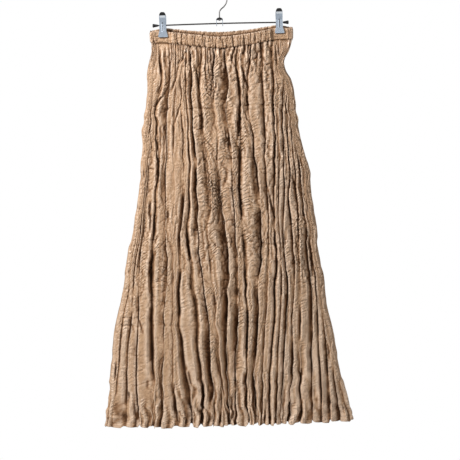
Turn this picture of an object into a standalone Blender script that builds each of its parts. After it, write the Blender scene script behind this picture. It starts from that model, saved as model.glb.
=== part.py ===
"""A long crinkle pleated skirt that hangs flat from a two-clip hanger.

Metres and +Z up, written in millimetres and scaled once. The origin is the inside top of the hook, where a
rail holds the hanger. The front of the skirt faces -Y, and +X is on the right of someone who looks at it.
"""
import math
from collections import namedtuple

import bmesh
import bpy
from mathutils import Vector

MM = 0.001
GAP = 0.3
HALF_GAP = GAP / 2

# Cloth
PANEL_WALL = 1.2
BAND_WALL = 2.5
BAND_HEIGHT = 25.0
PUCKERS = 40
PUCKER_DEPTH = 1.1
BACK_FOLDS = 24

# Skirt body. Each row is a level section: its height, the two side edges, how far the front and the back
# stand out from the middle plane, and the radius that the cloth turns on at the sides.
Section = namedtuple("Section", "z left right depth side_radius")
SECTIONS = (
    Section(-133, -151.0, 155.5, 10.5, 4.0),
    Section(-156, -151.6, 148.7, 14.0, 4.3),
    Section(-178, -156.5, 139.3, 16.0, 4.6),
    Section(-200, -160.8, 141.2, 17.5, 5.0),
    Section(-221, -162.7, 151.3, 18.5, 5.5),
    Section(-250, -164.7, 157.6, 19.5, 6.0),
    Section(-288, -169.8, 161.6, 20.5, 6.4),
    Section(-322, -176.3, 166.0, 21.5, 6.8),
    Section(-358, -176.0, 171.6, 23.0, 7.2),
    Section(-408, -181.8, 185.4, 25.0, 7.8),
    Section(-464, -187.7, 189.8, 27.0, 8.4),
    Section(-524, -198.4, 197.4, 29.0, 9.0),
    Section(-584, -212.8, 200.8, 31.0, 9.6),
    Section(-644, -223.3, 210.3, 33.0, 10.2),
    Section(-704, -236.0, 215.2, 35.0, 10.8),
    Section(-766, -250.0, 228.4, 36.5, 11.4),
    Section(-830, -256.9, 237.4, 38.0, 12.0),
    Section(-896, -263.6, 251.4, 39.0, 12.6),
    Section(-964, -273.4, 266.0, 40.0, 13.2),
)
PLAN_POWER = 2.6
HEM_DROP = 4.0
HEM_FULL_DIP = 8.0

# Front folds. Each row is one deep crease, with its place across the front at seven heights and its depth
# at four of them.
CREASE_HEIGHTS = (-156, -283, -414, -545, -675, -806, -954)
DEPTH_HEIGHTS = (-156, -414, -675, -954)
Crease = namedtuple("Crease", "across depth")
FRONT_CREASES = (
    Crease((-147, -163, -174, -193, -216, -237, -260), (0, 0, 6, 9)),
    Crease((-144, -159, -169, -185, -204, -218, -225), (0, 2, 3, 7)),
    Crease((-140, -154, -164, -178, -191, -198, -195), (3, 7, 8, 8)),
    Crease((-135, -146, -146, -154, -164, -165, -167), (9, 10, 10, 9)),
    Crease((-106, -119, -126, -130, -131, -141, -147), (8, 9, 5, 6)),
    Crease((-97, -103, -108, -114, -117, -119, -114), (2, 3, 4, 7)),
    Crease((-87, -88, -87, -99, -103, -99, -84), (6, 5, 6, 6)),
    Crease((-76, -77, -74, -82, -74, -65, -62), (3, 5, 5, 8)),
    Crease((-65, -66, -59, -58, -48, -41, -38), (6, 8, 8, 8)),
    Crease((-43, -45, -35, -40, -28, -21, -18), (6, 5, 4, 7)),
    Crease((-15, -14, -11, 1, 2, -5, 0), (7, 7, 11, 10)),
    Crease((9, 8, 18, 23, 25, 17, 17), (5, 5, 6, 8)),
    Crease((31, 34, 33, 36, 39, 39, 39), (6, 6, 5, 7)),
    Crease((64, 56, 70, 75, 65, 59, 57), (6, 6, 6, 6)),
    Crease((92, 91, 90, 93, 87, 75, 70), (5, 5, 4, 6)),
    Crease((112, 110, 109, 106, 102, 92, 83), (8, 10, 8, 8)),
    Crease((119, 121, 120, 116, 118, 107, 97), (0, 2, 3, 7)),
    Crease((127, 132, 131, 125, 133, 121, 110), (9, 8, 7, 8)),
    Crease((136, 142, 144, 145, 146, 140, 126), (3, 6, 6, 8)),
    Crease((139, 147, 155, 159, 159, 154, 152), (0, 3, 6, 8)),
    Crease((141, 151, 165, 175, 182, 180, 178), (0, 4, 6, 8)),
    Crease((142, 153, 173, 184, 193, 195, 197), (0, 2, 6, 8)),
    Crease((143, 155, 177, 189, 200, 212, 216), (0, 0, 3, 8)),
    Crease((144, 156, 180, 191, 205, 224, 237), (0, 0, 0, 7)),
)
RIDGE_STEPS = 3
RIDGE_ROUNDNESS = 3.0
ARC_STEPS = 3
LEAST_SPACING = 1.2
# A fold takes up at most this share of the room between the ridge tops and the middle plane.
SPARE_DEPTH = 0.58

# Waistband, which sags between the clips. Each row is a place across it, with the height there of the top edge
# of the back and of the front.
BandPlace = namedtuple("BandPlace", "x back_top front_top")
BAND_PLACES = (
    BandPlace(-154, -105.0, -108.5),
    BandPlace(-125, -101.0, -108.0),
    BandPlace(-105, -101.5, -111.5),
    BandPlace(-65, -106.0, -117.0),
    BandPlace(0, -110.0, -124.0),
    BandPlace(65, -106.5, -118.0),
    BandPlace(105, -101.5, -111.0),
    BandPlace(129, -100.5, -107.0),
    BandPlace(158, -105.0, -109.5),
)
# Rows of the band from its seam up: share of its height, side edges, and how far the wall is drawn in.
BandRow = namedtuple("BandRow", "share left right drawn_in")
BAND_ROWS = (
    BandRow(0.0, -151.5, 156.5, 1.0),
    BandRow(0.22, -154.0, 158.5, 0.0),
    BandRow(0.75, -154.5, 159.0, 0.0),
    BandRow(1.0, -152.5, 157.5, 0.7),
)
BAND_DEPTH = 11.0
BAND_SIDE_RADIUS = 4.0
BAND_STEPS = 2
SAG_ENDS = -300.0

# Clips pinch the cloth flat. The pinch eases off to each side and below the jaws.
CLIP_PLACES = {"left": -125.0, "right": 129.0}
CLIP_FEET = {"left": -121.0, "right": -119.0}
PINCH_FLAT = 11.5
PINCH_REACH = 22.0
PINCH_BOTTOM = -122.0
PINCH_ENDS = -165.0

# Hanger
ROD_RADIUS = 1.5
ROD_HEIGHT = -93.5
ROD_BOW = 1.3
ROD_ENDS = (-140.0, 142.0)
ROD_STEPS = 14
TIP_LENGTH = 11.5
TIP_RADIUS = 4.1
TIP_NECK = 2.4
TIP_BORE_DEPTH = 4.0
WIRE_RADIUS = 1.3
HOOK_RADIUS = 18.0
HOOK_END_ANGLE = 205.0
SHANK_X = -1.0
HOOK_ARC_STEPS = 14
SWIVEL_HEAD_RADIUS = 2.6
SWIVEL_HEAD_HEIGHT = 2.4
SWIVEL_HEAD_EDGE = 0.5
HOOK_BEND = (
    (SHANK_X, -74.0),
    (-0.9, -69.0),
    (0.6, -65.0),
    (4.2, -61.2),
    (9.0, -57.2),
    (13.0, -52.4),
    (15.6, -46.5),
    (16.9, -38.0),
    (17.6, -28.0),
)
BRACKET_HALF_WIDTH = 7.2
BRACKET_DEPTH = 8.0
BRACKET_TOP = -81.0
BRACKET_BOTTOM = -98.5
BRACKET_WALL = 1.2
DOME_WALL = 3.6
DOME_FALL = 2.8
DOME_STEPS = 6
BRACKET_SHOULDER = 3.4
BRACKET_INNER_SHOULDER = 5.6
BARREL_RADIUS = 4.0
BARREL_LENGTH = 9.0

# Spring clip plate, by rows from its foot up: height over the foot, half width, how far its inner face
# stands from the middle plane, and how far the pressed rib stands out of it.
PlateRow = namedtuple("PlateRow", "height half_width stand rib")
PLATE_ROWS = (
    PlateRow(0.0, 9.6, 4.6, 0.0),
    PlateRow(1.2, 10.4, 4.4, 0.0),
    PlateRow(6.0, 9.8, 4.4, 0.0),
    PlateRow(11.0, 7.9, 4.4, 0.0),
    PlateRow(13.0, 7.6, 4.4, 0.7),
    PlateRow(27.5, 7.3, 4.4, 0.7),
    PlateRow(30.0, 7.2, 4.5, 0.0),
    PlateRow(40.0, 7.5, 5.8, 0.0),
    PlateRow(48.0, 7.2, 7.0, 0.0),
    PlateRow(52.0, 5.6, 7.5, 0.0),
    PlateRow(54.0, 3.0, 7.7, 0.0),
)
PLATE_WALL = 1.0
PLATE_COLUMNS = (-1.0, -0.3, 0.0, 0.3, 1.0)
PAD_HALF_WIDTH = 9.0
PAD_HEIGHT = 11.0
PAD_LIFT = 0.8

# Colours, as linear values, with roughness and metallic
Finish = namedtuple("Finish", "colour roughness metallic")
FINISHES = {
    "cloth": Finish((0.42, 0.28, 0.19), 0.6, 0.0),
    "band_cloth": Finish((0.45, 0.30, 0.20), 0.6, 0.0),
    "chrome": Finish((0.62, 0.64, 0.66), 0.22, 1.0),
    "rubber": Finish((0.02, 0.02, 0.022), 0.5, 0.0),
    "pad": Finish((0.62, 0.62, 0.60), 0.7, 0.0),
}


def smooth_between(keys, values, at):
    """The value at one place, on a smooth curve through the values at falling or rising keys."""
    if keys[0] > keys[-1]:
        keys = keys[::-1]
        values = values[::-1]
    at = min(max(at, keys[0]), keys[-1])
    step = 0
    while step < len(keys) - 2 and at > keys[step + 1]:
        step += 1
    share = (at - keys[step]) / (keys[step + 1] - keys[step])
    before = values[max(step - 1, 0)]
    start, end = values[step], values[step + 1]
    after = values[min(step + 2, len(values) - 1)]
    lean_in = (end - before) / 2
    lean_out = (after - start) / 2
    return ((2 * share ** 3 - 3 * share ** 2 + 1) * start + (share ** 3 - 2 * share ** 2 + share) * lean_in
            + (3 * share ** 2 - 2 * share ** 3) * end + (share ** 3 - share ** 2) * lean_out)


def eased(value, start, end):
    """A smooth step from 0 at the start to 1 at the end."""
    share = min(max((value - start) / (end - start), 0.0), 1.0)
    return share * share * (3 - 2 * share)


def material(slot):
    """The material of one slot, made once."""
    made = bpy.data.materials.get(slot)
    if made is None:
        finish = FINISHES[slot]
        made = bpy.data.materials.new(slot)
        made.use_nodes = True
        shader = made.node_tree.nodes["Principled BSDF"]
        shader.inputs["Base Color"].default_value = (*finish.colour, 1)
        shader.inputs["Roughness"].default_value = finish.roughness
        shader.inputs["Metallic"].default_value = finish.metallic
    return made


def add_object(name, shape, slot):
    """Links a finished bmesh, drawn in millimetres, as one named object."""
    bmesh.ops.scale(shape, vec=(MM, MM, MM), verts=shape.verts)
    bmesh.ops.recalc_face_normals(shape, faces=shape.faces)
    mesh = bpy.data.meshes.new(name)
    shape.to_mesh(mesh)
    shape.free()
    mesh.shade_smooth()
    mesh.set_sharp_from_angle(angle=math.radians(40))
    mesh.materials.append(material(slot))
    made = bpy.data.objects.new(name, mesh)
    bpy.context.scene.collection.objects.link(made)
    return made


def closed_wall(name, outside, inside, slot):
    """A wall between two grids of points with the same rows and columns, closed round its edge."""
    shape = bmesh.new()
    outer = [[shape.verts.new(point) for point in row] for row in outside]
    inner = [[shape.verts.new(point) for point in row] for row in inside]
    rows, columns = len(outer), len(outer[0])
    for grid in (outer, inner):
        for row in range(rows - 1):
            for column in range(columns - 1):
                shape.faces.new((grid[row][column], grid[row][column + 1],
                                 grid[row + 1][column + 1], grid[row + 1][column]))
    for row in range(rows - 1):
        for column in (0, columns - 1):
            shape.faces.new((outer[row][column], outer[row + 1][column],
                             inner[row + 1][column], inner[row][column]))
    for column in range(columns - 1):
        for row in (0, rows - 1):
            shape.faces.new((outer[row][column], outer[row][column + 1],
                             inner[row][column + 1], inner[row][column]))
    return add_object(name, shape, slot)


# Cloth sections
def pinch(x, z):
    """How far the clips flatten the cloth here, from 0 to 1."""
    below = eased(z, PINCH_ENDS, PINCH_BOTTOM)
    nearest = min(abs(x - place) for place in CLIP_PLACES.values())
    return below * (1 - eased(nearest, PINCH_FLAT, PINCH_REACH))


def stand_off(x, z, left, right, depth, side_radius, wall):
    """How far the ridge tops stand from the middle plane at a place between the side arcs."""
    middle = (left + right) / 2
    half = (right - left) / 2 - side_radius
    share = min(abs(x - middle) / half, 1.0)
    free = HALF_GAP + side_radius + (depth - side_radius) * (1 - share ** PLAN_POWER)
    flat = HALF_GAP + wall
    squeeze = pinch(x, z)
    return free * (1 - squeeze) + flat * squeeze


def fold_dip(share):
    """The shape of half a fold, from 1 in its crease to 0 at the next one."""
    return (1 - share) ** RIDGE_ROUNDNESS


def section_points(z, left, right, depth, side_radius, wall, stops, depths, steps):
    """Points of one level section as (x, distance from the middle plane), from the left side to the right."""
    first, last = left + side_radius, right - side_radius
    stops = [first, *stops, last]
    depths = [0.0, *depths, 0.0]
    points = []
    for step in range(ARC_STEPS):
        turn = math.radians(90 * step / ARC_STEPS)
        points.append((first - side_radius * math.cos(turn), HALF_GAP + side_radius * math.sin(turn)))
    for place in range(len(stops) - 1):
        for step in range(steps):
            share = step / steps
            x = stops[place] + (stops[place + 1] - stops[place]) * share
            ridge = stand_off(x, z, left, right, depth, side_radius, wall)
            dip = depths[place] * fold_dip(share) + depths[place + 1] * fold_dip(1 - share)
            room = (ridge - wall - HALF_GAP) * SPARE_DEPTH
            points.append((x, ridge - min(dip, room)))
    for step in range(ARC_STEPS + 1):
        turn = math.radians(90 - 90 * step / ARC_STEPS)
        points.append((last + side_radius * math.cos(turn), HALF_GAP + side_radius * math.sin(turn)))
    return points


def inner_points(points, wall):
    """The same section moved inwards by the wall, with its two ends kept on the seam plane."""
    inner = []
    for place, (x, y) in enumerate(points):
        if place in (0, len(points) - 1):
            inner.append((x + (wall if place == 0 else -wall), y))
            continue
        before, after = points[place - 1], points[place + 1]
        along = Vector((after[0] - before[0], after[1] - before[1])).normalized()
        inner.append((x + along.y * wall, y - along.x * wall))
    return inner


def cloth_wall(name, facing, rows, wall, slot):
    """A cloth piece from rows of (section points, heights); facing is -1 for the front and 1 for the back."""
    outside, inside = [], []
    for points, heights in rows:
        outside.append([(x, facing * y, z) for (x, y), z in zip(points, heights)])
        inside.append([(x, facing * y, z) for (x, y), z in zip(inner_points(points, wall), heights)])
    return closed_wall(name, outside, inside, slot)


# Skirt panels
def band_edge(x, edge):
    """The height of a named edge of the band above one place."""
    across = [place.x for place in BAND_PLACES]
    return smooth_between(across, [getattr(place, edge) for place in BAND_PLACES], x)


def back_creases():
    """Folds of the back, which are as uneven as those of the front and fan out in the same way."""
    creases = []
    for fold in range(BACK_FOLDS):
        share = (fold + 0.8 + 0.28 * math.sin(2.1 * fold + 0.7)) / (BACK_FOLDS + 0.6)
        across = []
        for level, z in enumerate(CREASE_HEIGHTS):
            first, last = fold_limits(z)
            wander = 3.2 * math.sin(1.3 * fold + 1.1 * level) * min(share, 1 - share) * 2
            across.append(first + (last - first) * share + wander)
        near_side = 1 - abs(2 * share - 1) ** 4
        top = (4.5 + 3.0 * math.sin(1.9 * fold)) * near_side
        middle = 6.5 + 2.5 * math.sin(2.7 * fold + 1.0)
        low = 6.5 + 2.5 * math.sin(2.3 * fold + 2.0)
        creases.append(Crease(tuple(across), (top, middle * near_side, low, low + 1.0)))
    return tuple(creases)


def section_value(name, z):
    """One named column of the section table, at any height."""
    return smooth_between([row.z for row in SECTIONS], [getattr(row, name) for row in SECTIONS], z)


def fold_limits(z):
    """The outermost places where a fold can lie, just inside the side arcs."""
    radius = section_value("side_radius", z)
    return section_value("left", z) + radius, section_value("right", z) - radius


def panel(name, facing, creases, top_edge):
    """One skirt panel, whose grid columns follow the folds from the waist seam to the hem."""
    rows = []
    for section in SECTIONS:
        first, last = section.left + section.side_radius, section.right - section.side_radius
        stops = [smooth_between(CREASE_HEIGHTS, crease.across, section.z) for crease in creases]
        stops = spaced_out(stops, first, last)
        depths = [smooth_between(DEPTH_HEIGHTS, crease.depth, section.z) for crease in creases]
        points = section_points(section.z, section.left, section.right, section.depth, section.side_radius,
                                PANEL_WALL, stops, depths, RIDGE_STEPS)
        sag_share = eased(section.z, SAG_ENDS, SECTIONS[0].z)
        hem_share = eased(section.z, SECTIONS[-2].z, SECTIONS[-1].z)
        heights = []
        for x, y in points:
            seam = band_edge(x, top_edge) - BAND_HEIGHT - GAP
            ridge = stand_off(x, section.z, section.left, section.right, section.depth, section.side_radius,
                              PANEL_WALL)
            valley = min(max(ridge - y, 0.0) / HEM_FULL_DIP, 1.0)
            sag = (seam - SECTIONS[0].z) * sag_share
            heights.append(section.z + sag + HEM_DROP * hem_share * (valley - 0.5))
        rows.append((points, heights))
    return cloth_wall(name, facing, rows, PANEL_WALL, "cloth")


def spaced_out(stops, first, last):
    """Keeps fold places in order between the two limits, with a little room round each."""
    kept = []
    lowest = first + LEAST_SPACING
    for stop in stops:
        kept.append(max(stop, lowest))
        lowest = kept[-1] + LEAST_SPACING
    highest = last - LEAST_SPACING
    for place in range(len(kept) - 1, -1, -1):
        kept[place] = min(kept[place], highest)
        highest = kept[place] - LEAST_SPACING
    return kept


# Waistband
def pucker_places():
    """Shares across the band where its gathers lie, unevenly spaced."""
    return [(pucker + 0.5 + 0.3 * math.sin(2.4 * pucker)) / PUCKERS for pucker in range(PUCKERS)]


def waistband(name, facing, top_edge):
    """One half of the gathered waist casing, drawn in along its seam and its top edge."""
    rows = []
    for row in BAND_ROWS:
        first, last = row.left + BAND_SIDE_RADIUS, row.right - BAND_SIDE_RADIUS
        stops = [first + (last - first) * share for share in pucker_places()]
        depths = []
        for pucker, x in enumerate(stops):
            loose = 1 - pinch(x, PINCH_BOTTOM)
            depths.append((PUCKER_DEPTH + 0.4 * math.sin(1.7 * pucker)) * loose)
        depth = BAND_DEPTH - row.drawn_in
        points = section_points(PINCH_BOTTOM, row.left, row.right, depth, BAND_SIDE_RADIUS, BAND_WALL,
                                stops, depths, BAND_STEPS)
        heights = [band_edge(x, top_edge) - BAND_HEIGHT * (1 - row.share) for x, _ in points]
        rows.append((points, heights))
    return cloth_wall(name, facing, rows, BAND_WALL, "band_cloth")


# Hanger
def tube(name, path, radii, sides, slot):
    """A round wire along a path of (x, z) points, with a radius at each and flat ends."""
    shape = bmesh.new()
    rings = []
    for place, (x, z) in enumerate(path):
        before = path[max(place - 1, 0)]
        after = path[min(place + 1, len(path) - 1)]
        along = Vector((after[0] - before[0], 0, after[1] - before[1])).normalized()
        side = Vector((0, 1, 0))
        up = along.cross(side)
        ring = []
        for step in range(sides):
            turn = math.tau * step / sides
            offset = (side * math.cos(turn) + up * math.sin(turn)) * radii[place]
            ring.append(shape.verts.new(Vector((x, 0, z)) + offset))
        rings.append(ring)
    for ring, following in zip(rings, rings[1:]):
        for step in range(sides):
            beside = (step + 1) % sides
            shape.faces.new((ring[step], ring[beside], following[beside], following[step]))
    shape.faces.new(rings[0])
    shape.faces.new(rings[-1])
    return add_object(name, shape, slot)


def lathed(name, profile, x, z, sides, slot):
    """A solid turned about the X axis through (x, z), from a closed loop of (along, radius) points."""
    shape = bmesh.new()
    loop = [shape.verts.new((x + along, 0, z + radius)) for along, radius in profile]
    edges = [shape.edges.new((loop[place], loop[(place + 1) % len(loop)])) for place in range(len(loop))]
    edges = [edge for edge in edges if not all(abs(vert.co.z - z) < 1e-6 for vert in edge.verts)]
    bmesh.ops.spin(shape, geom=loop + edges, cent=(x, 0, z), axis=(1, 0, 0), angle=math.tau, steps=sides,
                   use_merge=True)
    bmesh.ops.remove_doubles(shape, verts=shape.verts, dist=1e-4)
    wire = [edge for edge in shape.edges if not edge.link_faces]
    bmesh.ops.delete(shape, geom=wire, context="EDGES")
    return add_object(name, shape, slot)


def rod_height(x):
    """The rod bows a little, because the cloth pulls down on both its ends."""
    return ROD_HEIGHT - ROD_BOW * (x / ROD_ENDS[1]) ** 2


def hook():
    """The wire hook with a swivel head under the bracket, a bend to the right and a round crook."""
    head_top = BRACKET_TOP - DOME_WALL - GAP
    head_bottom = head_top - SWIVEL_HEAD_HEIGHT
    path = [(SHANK_X, head_bottom), (SHANK_X, head_bottom + SWIVEL_HEAD_EDGE),
            (SHANK_X, head_top - SWIVEL_HEAD_EDGE), (SHANK_X, head_top), (SHANK_X, BRACKET_TOP)]
    radii = [SWIVEL_HEAD_RADIUS * 0.7, SWIVEL_HEAD_RADIUS, SWIVEL_HEAD_RADIUS, WIRE_RADIUS, WIRE_RADIUS]
    for point in HOOK_BEND:
        path.append(point)
        radii.append(WIRE_RADIUS)
    centre_height = WIRE_RADIUS - HOOK_RADIUS
    for step in range(HOOK_ARC_STEPS + 1):
        turn = math.radians(HOOK_END_ANGLE * step / HOOK_ARC_STEPS)
        path.append((HOOK_RADIUS * math.cos(turn), centre_height + HOOK_RADIUS * math.sin(turn)))
        radii.append(WIRE_RADIUS)
    return tube("hook", path, radii, 10, "chrome")


def swivel_bracket():
    """A small bridge over the rod, with a thick domed top, a hole for the hook and one in each leg."""
    half, shoulder = BRACKET_HALF_WIDTH, BRACKET_TOP - BRACKET_SHOULDER
    outer = [(-half, BRACKET_BOTTOM), (-half, shoulder)]
    for step in range(1, DOME_STEPS):
        share = -1 + 2 * step / DOME_STEPS
        outer.append((half * share, BRACKET_TOP - DOME_FALL * share ** 2))
    outer += [(half, shoulder), (half, BRACKET_BOTTOM)]
    inside, ceiling = half - BRACKET_WALL, BRACKET_TOP - DOME_WALL
    shoulder = BRACKET_TOP - BRACKET_INNER_SHOULDER
    inner = [(inside, BRACKET_BOTTOM), (inside, shoulder), (inside / 2, ceiling),
             (-inside / 2, ceiling), (-inside, shoulder), (-inside, BRACKET_BOTTOM)]
    shape = bmesh.new()
    loop = [shape.verts.new((SHANK_X + x, -BRACKET_DEPTH / 2, z)) for x, z in outer + inner]
    face = shape.faces.new(loop)
    moved = bmesh.ops.extrude_face_region(shape, geom=[face])
    far = [item for item in moved["geom"] if isinstance(item, bmesh.types.BMVert)]
    bmesh.ops.translate(shape, vec=(0, BRACKET_DEPTH, 0), verts=far)
    bracket = add_object("swivel_bracket", shape, "chrome")
    rod_hole = cutter("rod_hole", ROD_RADIUS + GAP, 30.0, (SHANK_X, 0, rod_height(SHANK_X)), "X")
    hook_hole = cutter("hook_hole", WIRE_RADIUS + GAP, 12.0, (SHANK_X, 0, BRACKET_TOP - 2.0), "Z")
    for hole in (rod_hole, hook_hole):
        cut = bracket.modifiers.new(hole.name, "BOOLEAN")
        cut.object = hole
        cut.operation = "DIFFERENCE"
    return bracket


def cutter(name, radius, length, place, axis):
    """A hidden round cutter along X or Z."""
    shape = bmesh.new()
    bmesh.ops.create_cone(shape, cap_ends=True, segments=12, radius1=radius, radius2=radius, depth=length)
    if axis == "X":
        for vert in shape.verts:
            vert.co = Vector((vert.co.z, vert.co.y, -vert.co.x))
    bmesh.ops.translate(shape, vec=place, verts=shape.verts)
    made = add_object(name, shape, "chrome")
    made.hide_render = True
    made.display_type = "WIRE"
    return made


def rod():
    """The thin round rod, bowed by the weight of the cloth."""
    start, end = ROD_ENDS
    path = []
    for step in range(ROD_STEPS + 1):
        x = start + (end - start) * step / ROD_STEPS
        path.append((x, rod_height(x)))
    return tube("rod", path, [ROD_RADIUS] * len(path), 10, "chrome")


def rod_tip(side, end, outward):
    """A rubber tip that widens away from the rod, with a blind bore for it."""
    bore = ROD_RADIUS + GAP
    mouth = -TIP_BORE_DEPTH
    profile = [(mouth, bore), (mouth, TIP_NECK), (mouth + TIP_LENGTH * 0.35, TIP_NECK + 0.5),
               (mouth + TIP_LENGTH - 1.2, TIP_RADIUS), (mouth + TIP_LENGTH - 0.3, TIP_RADIUS - 0.5),
               (mouth + TIP_LENGTH, TIP_RADIUS - 1.6), (mouth + TIP_LENGTH, 0), (GAP, 0), (GAP, bore)]
    profile = [(outward * along, radius) for along, radius in profile]
    return lathed(f"rod_tip_{side}", profile, end, rod_height(end), 14, "rubber")


def clip_plate(side, facing):
    """One sprung steel plate of a clip, with a rounded top, a pressed rib and a flared foot."""
    x, foot = CLIP_PLACES[side], CLIP_FEET[side]
    outside, inside = [], []
    for row in PLATE_ROWS:
        outer, inner = [], []
        for share in PLATE_COLUMNS:
            rise = row.rib if share == 0 else 0.0
            across = x + share * row.half_width
            height = foot + row.height
            outer.append((across, facing * (row.stand + PLATE_WALL + rise), height))
            inner.append((across, facing * (row.stand + rise), height))
        outside.append(outer)
        inside.append(inner)
    face = "front" if facing < 0 else "back"
    return closed_wall(f"clip_{side}_{face}", outside, inside, "chrome")


def clip_pad(side, facing):
    """The pale pad between a plate's foot and the cloth."""
    x, foot = CLIP_PLACES[side], CLIP_FEET[side]
    near = HALF_GAP + BAND_WALL + GAP
    far = PLATE_ROWS[1].stand - GAP
    size = (2 * PAD_HALF_WIDTH, far - near, PAD_HEIGHT)
    centre = (x, facing * (near + far) / 2, foot + PAD_LIFT + PAD_HEIGHT / 2)
    shape = bmesh.new()
    bmesh.ops.create_cube(shape, size=1.0)
    bmesh.ops.scale(shape, vec=size, verts=shape.verts)
    bmesh.ops.translate(shape, vec=centre, verts=shape.verts)
    bmesh.ops.bevel(shape, geom=shape.edges, offset=0.3, segments=1, profile=0.5, affect="EDGES", material=-1)
    face = "front" if facing < 0 else "back"
    return add_object(f"clip_{side}_{face}_pad", shape, "pad")


def clip_barrel(side):
    """The sprung barrel that slides on the rod between the two plates."""
    x = CLIP_PLACES[side]
    half = BARREL_LENGTH / 2
    bore = ROD_RADIUS + GAP
    profile = [(-half, bore), (-half, BARREL_RADIUS), (half, BARREL_RADIUS), (half, bore)]
    return lathed(f"clip_{side}_barrel", profile, x, rod_height(x), 14, "chrome")


def hanger():
    """The whole hanger: hook, bracket, rod with its tips, and two spring clips closed on the band."""
    hook()
    swivel_bracket()
    rod()
    rod_tip("left", ROD_ENDS[0], -1)
    rod_tip("right", ROD_ENDS[1], 1)
    for side in CLIP_PLACES:
        clip_barrel(side)
        for facing in (-1, 1):
            clip_plate(side, facing)
            clip_pad(side, facing)


def main():
    for old in list(bpy.data.objects):
        bpy.data.objects.remove(old)
    panel("front_panel", -1, FRONT_CREASES, "front_top")
    panel("back_panel", 1, back_creases(), "back_top")
    waistband("waistband_front", -1, "front_top")
    waistband("waistband_back", 1, "back_top")
    hanger()


main()
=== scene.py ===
"""Looks of a crinkle pleated skirt on a two-clip hanger: fine cloth, stitching, metal and studio."""
import math
from collections import namedtuple

import bmesh
import bpy
import numpy as np
from bpy.props import FloatProperty, FloatVectorProperty, PointerProperty
from bpy.types import Operator, Panel, PropertyGroup
from mathutils import Matrix, Vector


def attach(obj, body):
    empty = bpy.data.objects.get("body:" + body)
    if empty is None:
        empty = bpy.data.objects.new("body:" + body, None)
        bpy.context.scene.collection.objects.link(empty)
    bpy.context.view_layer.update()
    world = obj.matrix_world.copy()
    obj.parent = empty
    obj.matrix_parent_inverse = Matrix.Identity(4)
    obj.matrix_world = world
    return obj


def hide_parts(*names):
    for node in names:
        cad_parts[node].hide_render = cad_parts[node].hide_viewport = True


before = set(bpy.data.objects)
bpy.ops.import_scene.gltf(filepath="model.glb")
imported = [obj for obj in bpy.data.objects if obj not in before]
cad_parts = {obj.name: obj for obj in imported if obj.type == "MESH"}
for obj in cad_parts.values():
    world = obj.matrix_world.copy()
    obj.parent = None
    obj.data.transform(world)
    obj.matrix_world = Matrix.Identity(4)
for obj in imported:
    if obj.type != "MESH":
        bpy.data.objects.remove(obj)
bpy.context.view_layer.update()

bl_info = {
    "name": "Crinkle Pleated Skirt",
    "version": (1, 0, 0),
    "blender": (4, 5, 0),
    "location": "View3D > Sidebar > Skirt",
    "description": "Builds the cloth, stitching, hanger finish and studio of a crinkle pleated skirt",
    "category": "Object",
}

MM = 0.001
HALF_GAP = 0.15
BODY = "root"

# Skirt body in millimetres. Each row is a level section: its height, the two side edges, how far the ridge
# tops stand out from the middle plane, and the radius that the cloth turns on at the sides.
Section = namedtuple("Section", "z left right depth side_radius")
SECTIONS = (
    Section(-133, -151.0, 155.5, 10.5, 4.0),
    Section(-156, -151.6, 148.7, 14.0, 4.3),
    Section(-178, -156.5, 139.3, 16.0, 4.6),
    Section(-200, -160.8, 141.2, 17.5, 5.0),
    Section(-221, -162.7, 151.3, 18.5, 5.5),
    Section(-250, -164.7, 157.6, 19.5, 6.0),
    Section(-288, -169.8, 161.6, 20.5, 6.4),
    Section(-322, -176.3, 166.0, 21.5, 6.8),
    Section(-358, -176.0, 171.6, 23.0, 7.2),
    Section(-408, -181.8, 185.4, 25.0, 7.8),
    Section(-464, -187.7, 189.8, 27.0, 8.4),
    Section(-524, -198.4, 197.4, 29.0, 9.0),
    Section(-584, -212.8, 200.8, 31.0, 9.6),
    Section(-644, -223.3, 210.3, 33.0, 10.2),
    Section(-704, -236.0, 215.2, 35.0, 10.8),
    Section(-766, -250.0, 228.4, 36.5, 11.4),
    Section(-830, -256.9, 237.4, 38.0, 12.0),
    Section(-896, -263.6, 251.4, 39.0, 12.6),
    Section(-964, -273.4, 266.0, 40.0, 13.2),
)
PLAN_POWER = 2.6
PANEL_WALL = 1.2
SKIRT_TOP = SECTIONS[0].z
SKIRT_HEM = SECTIONS[-1].z

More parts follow.
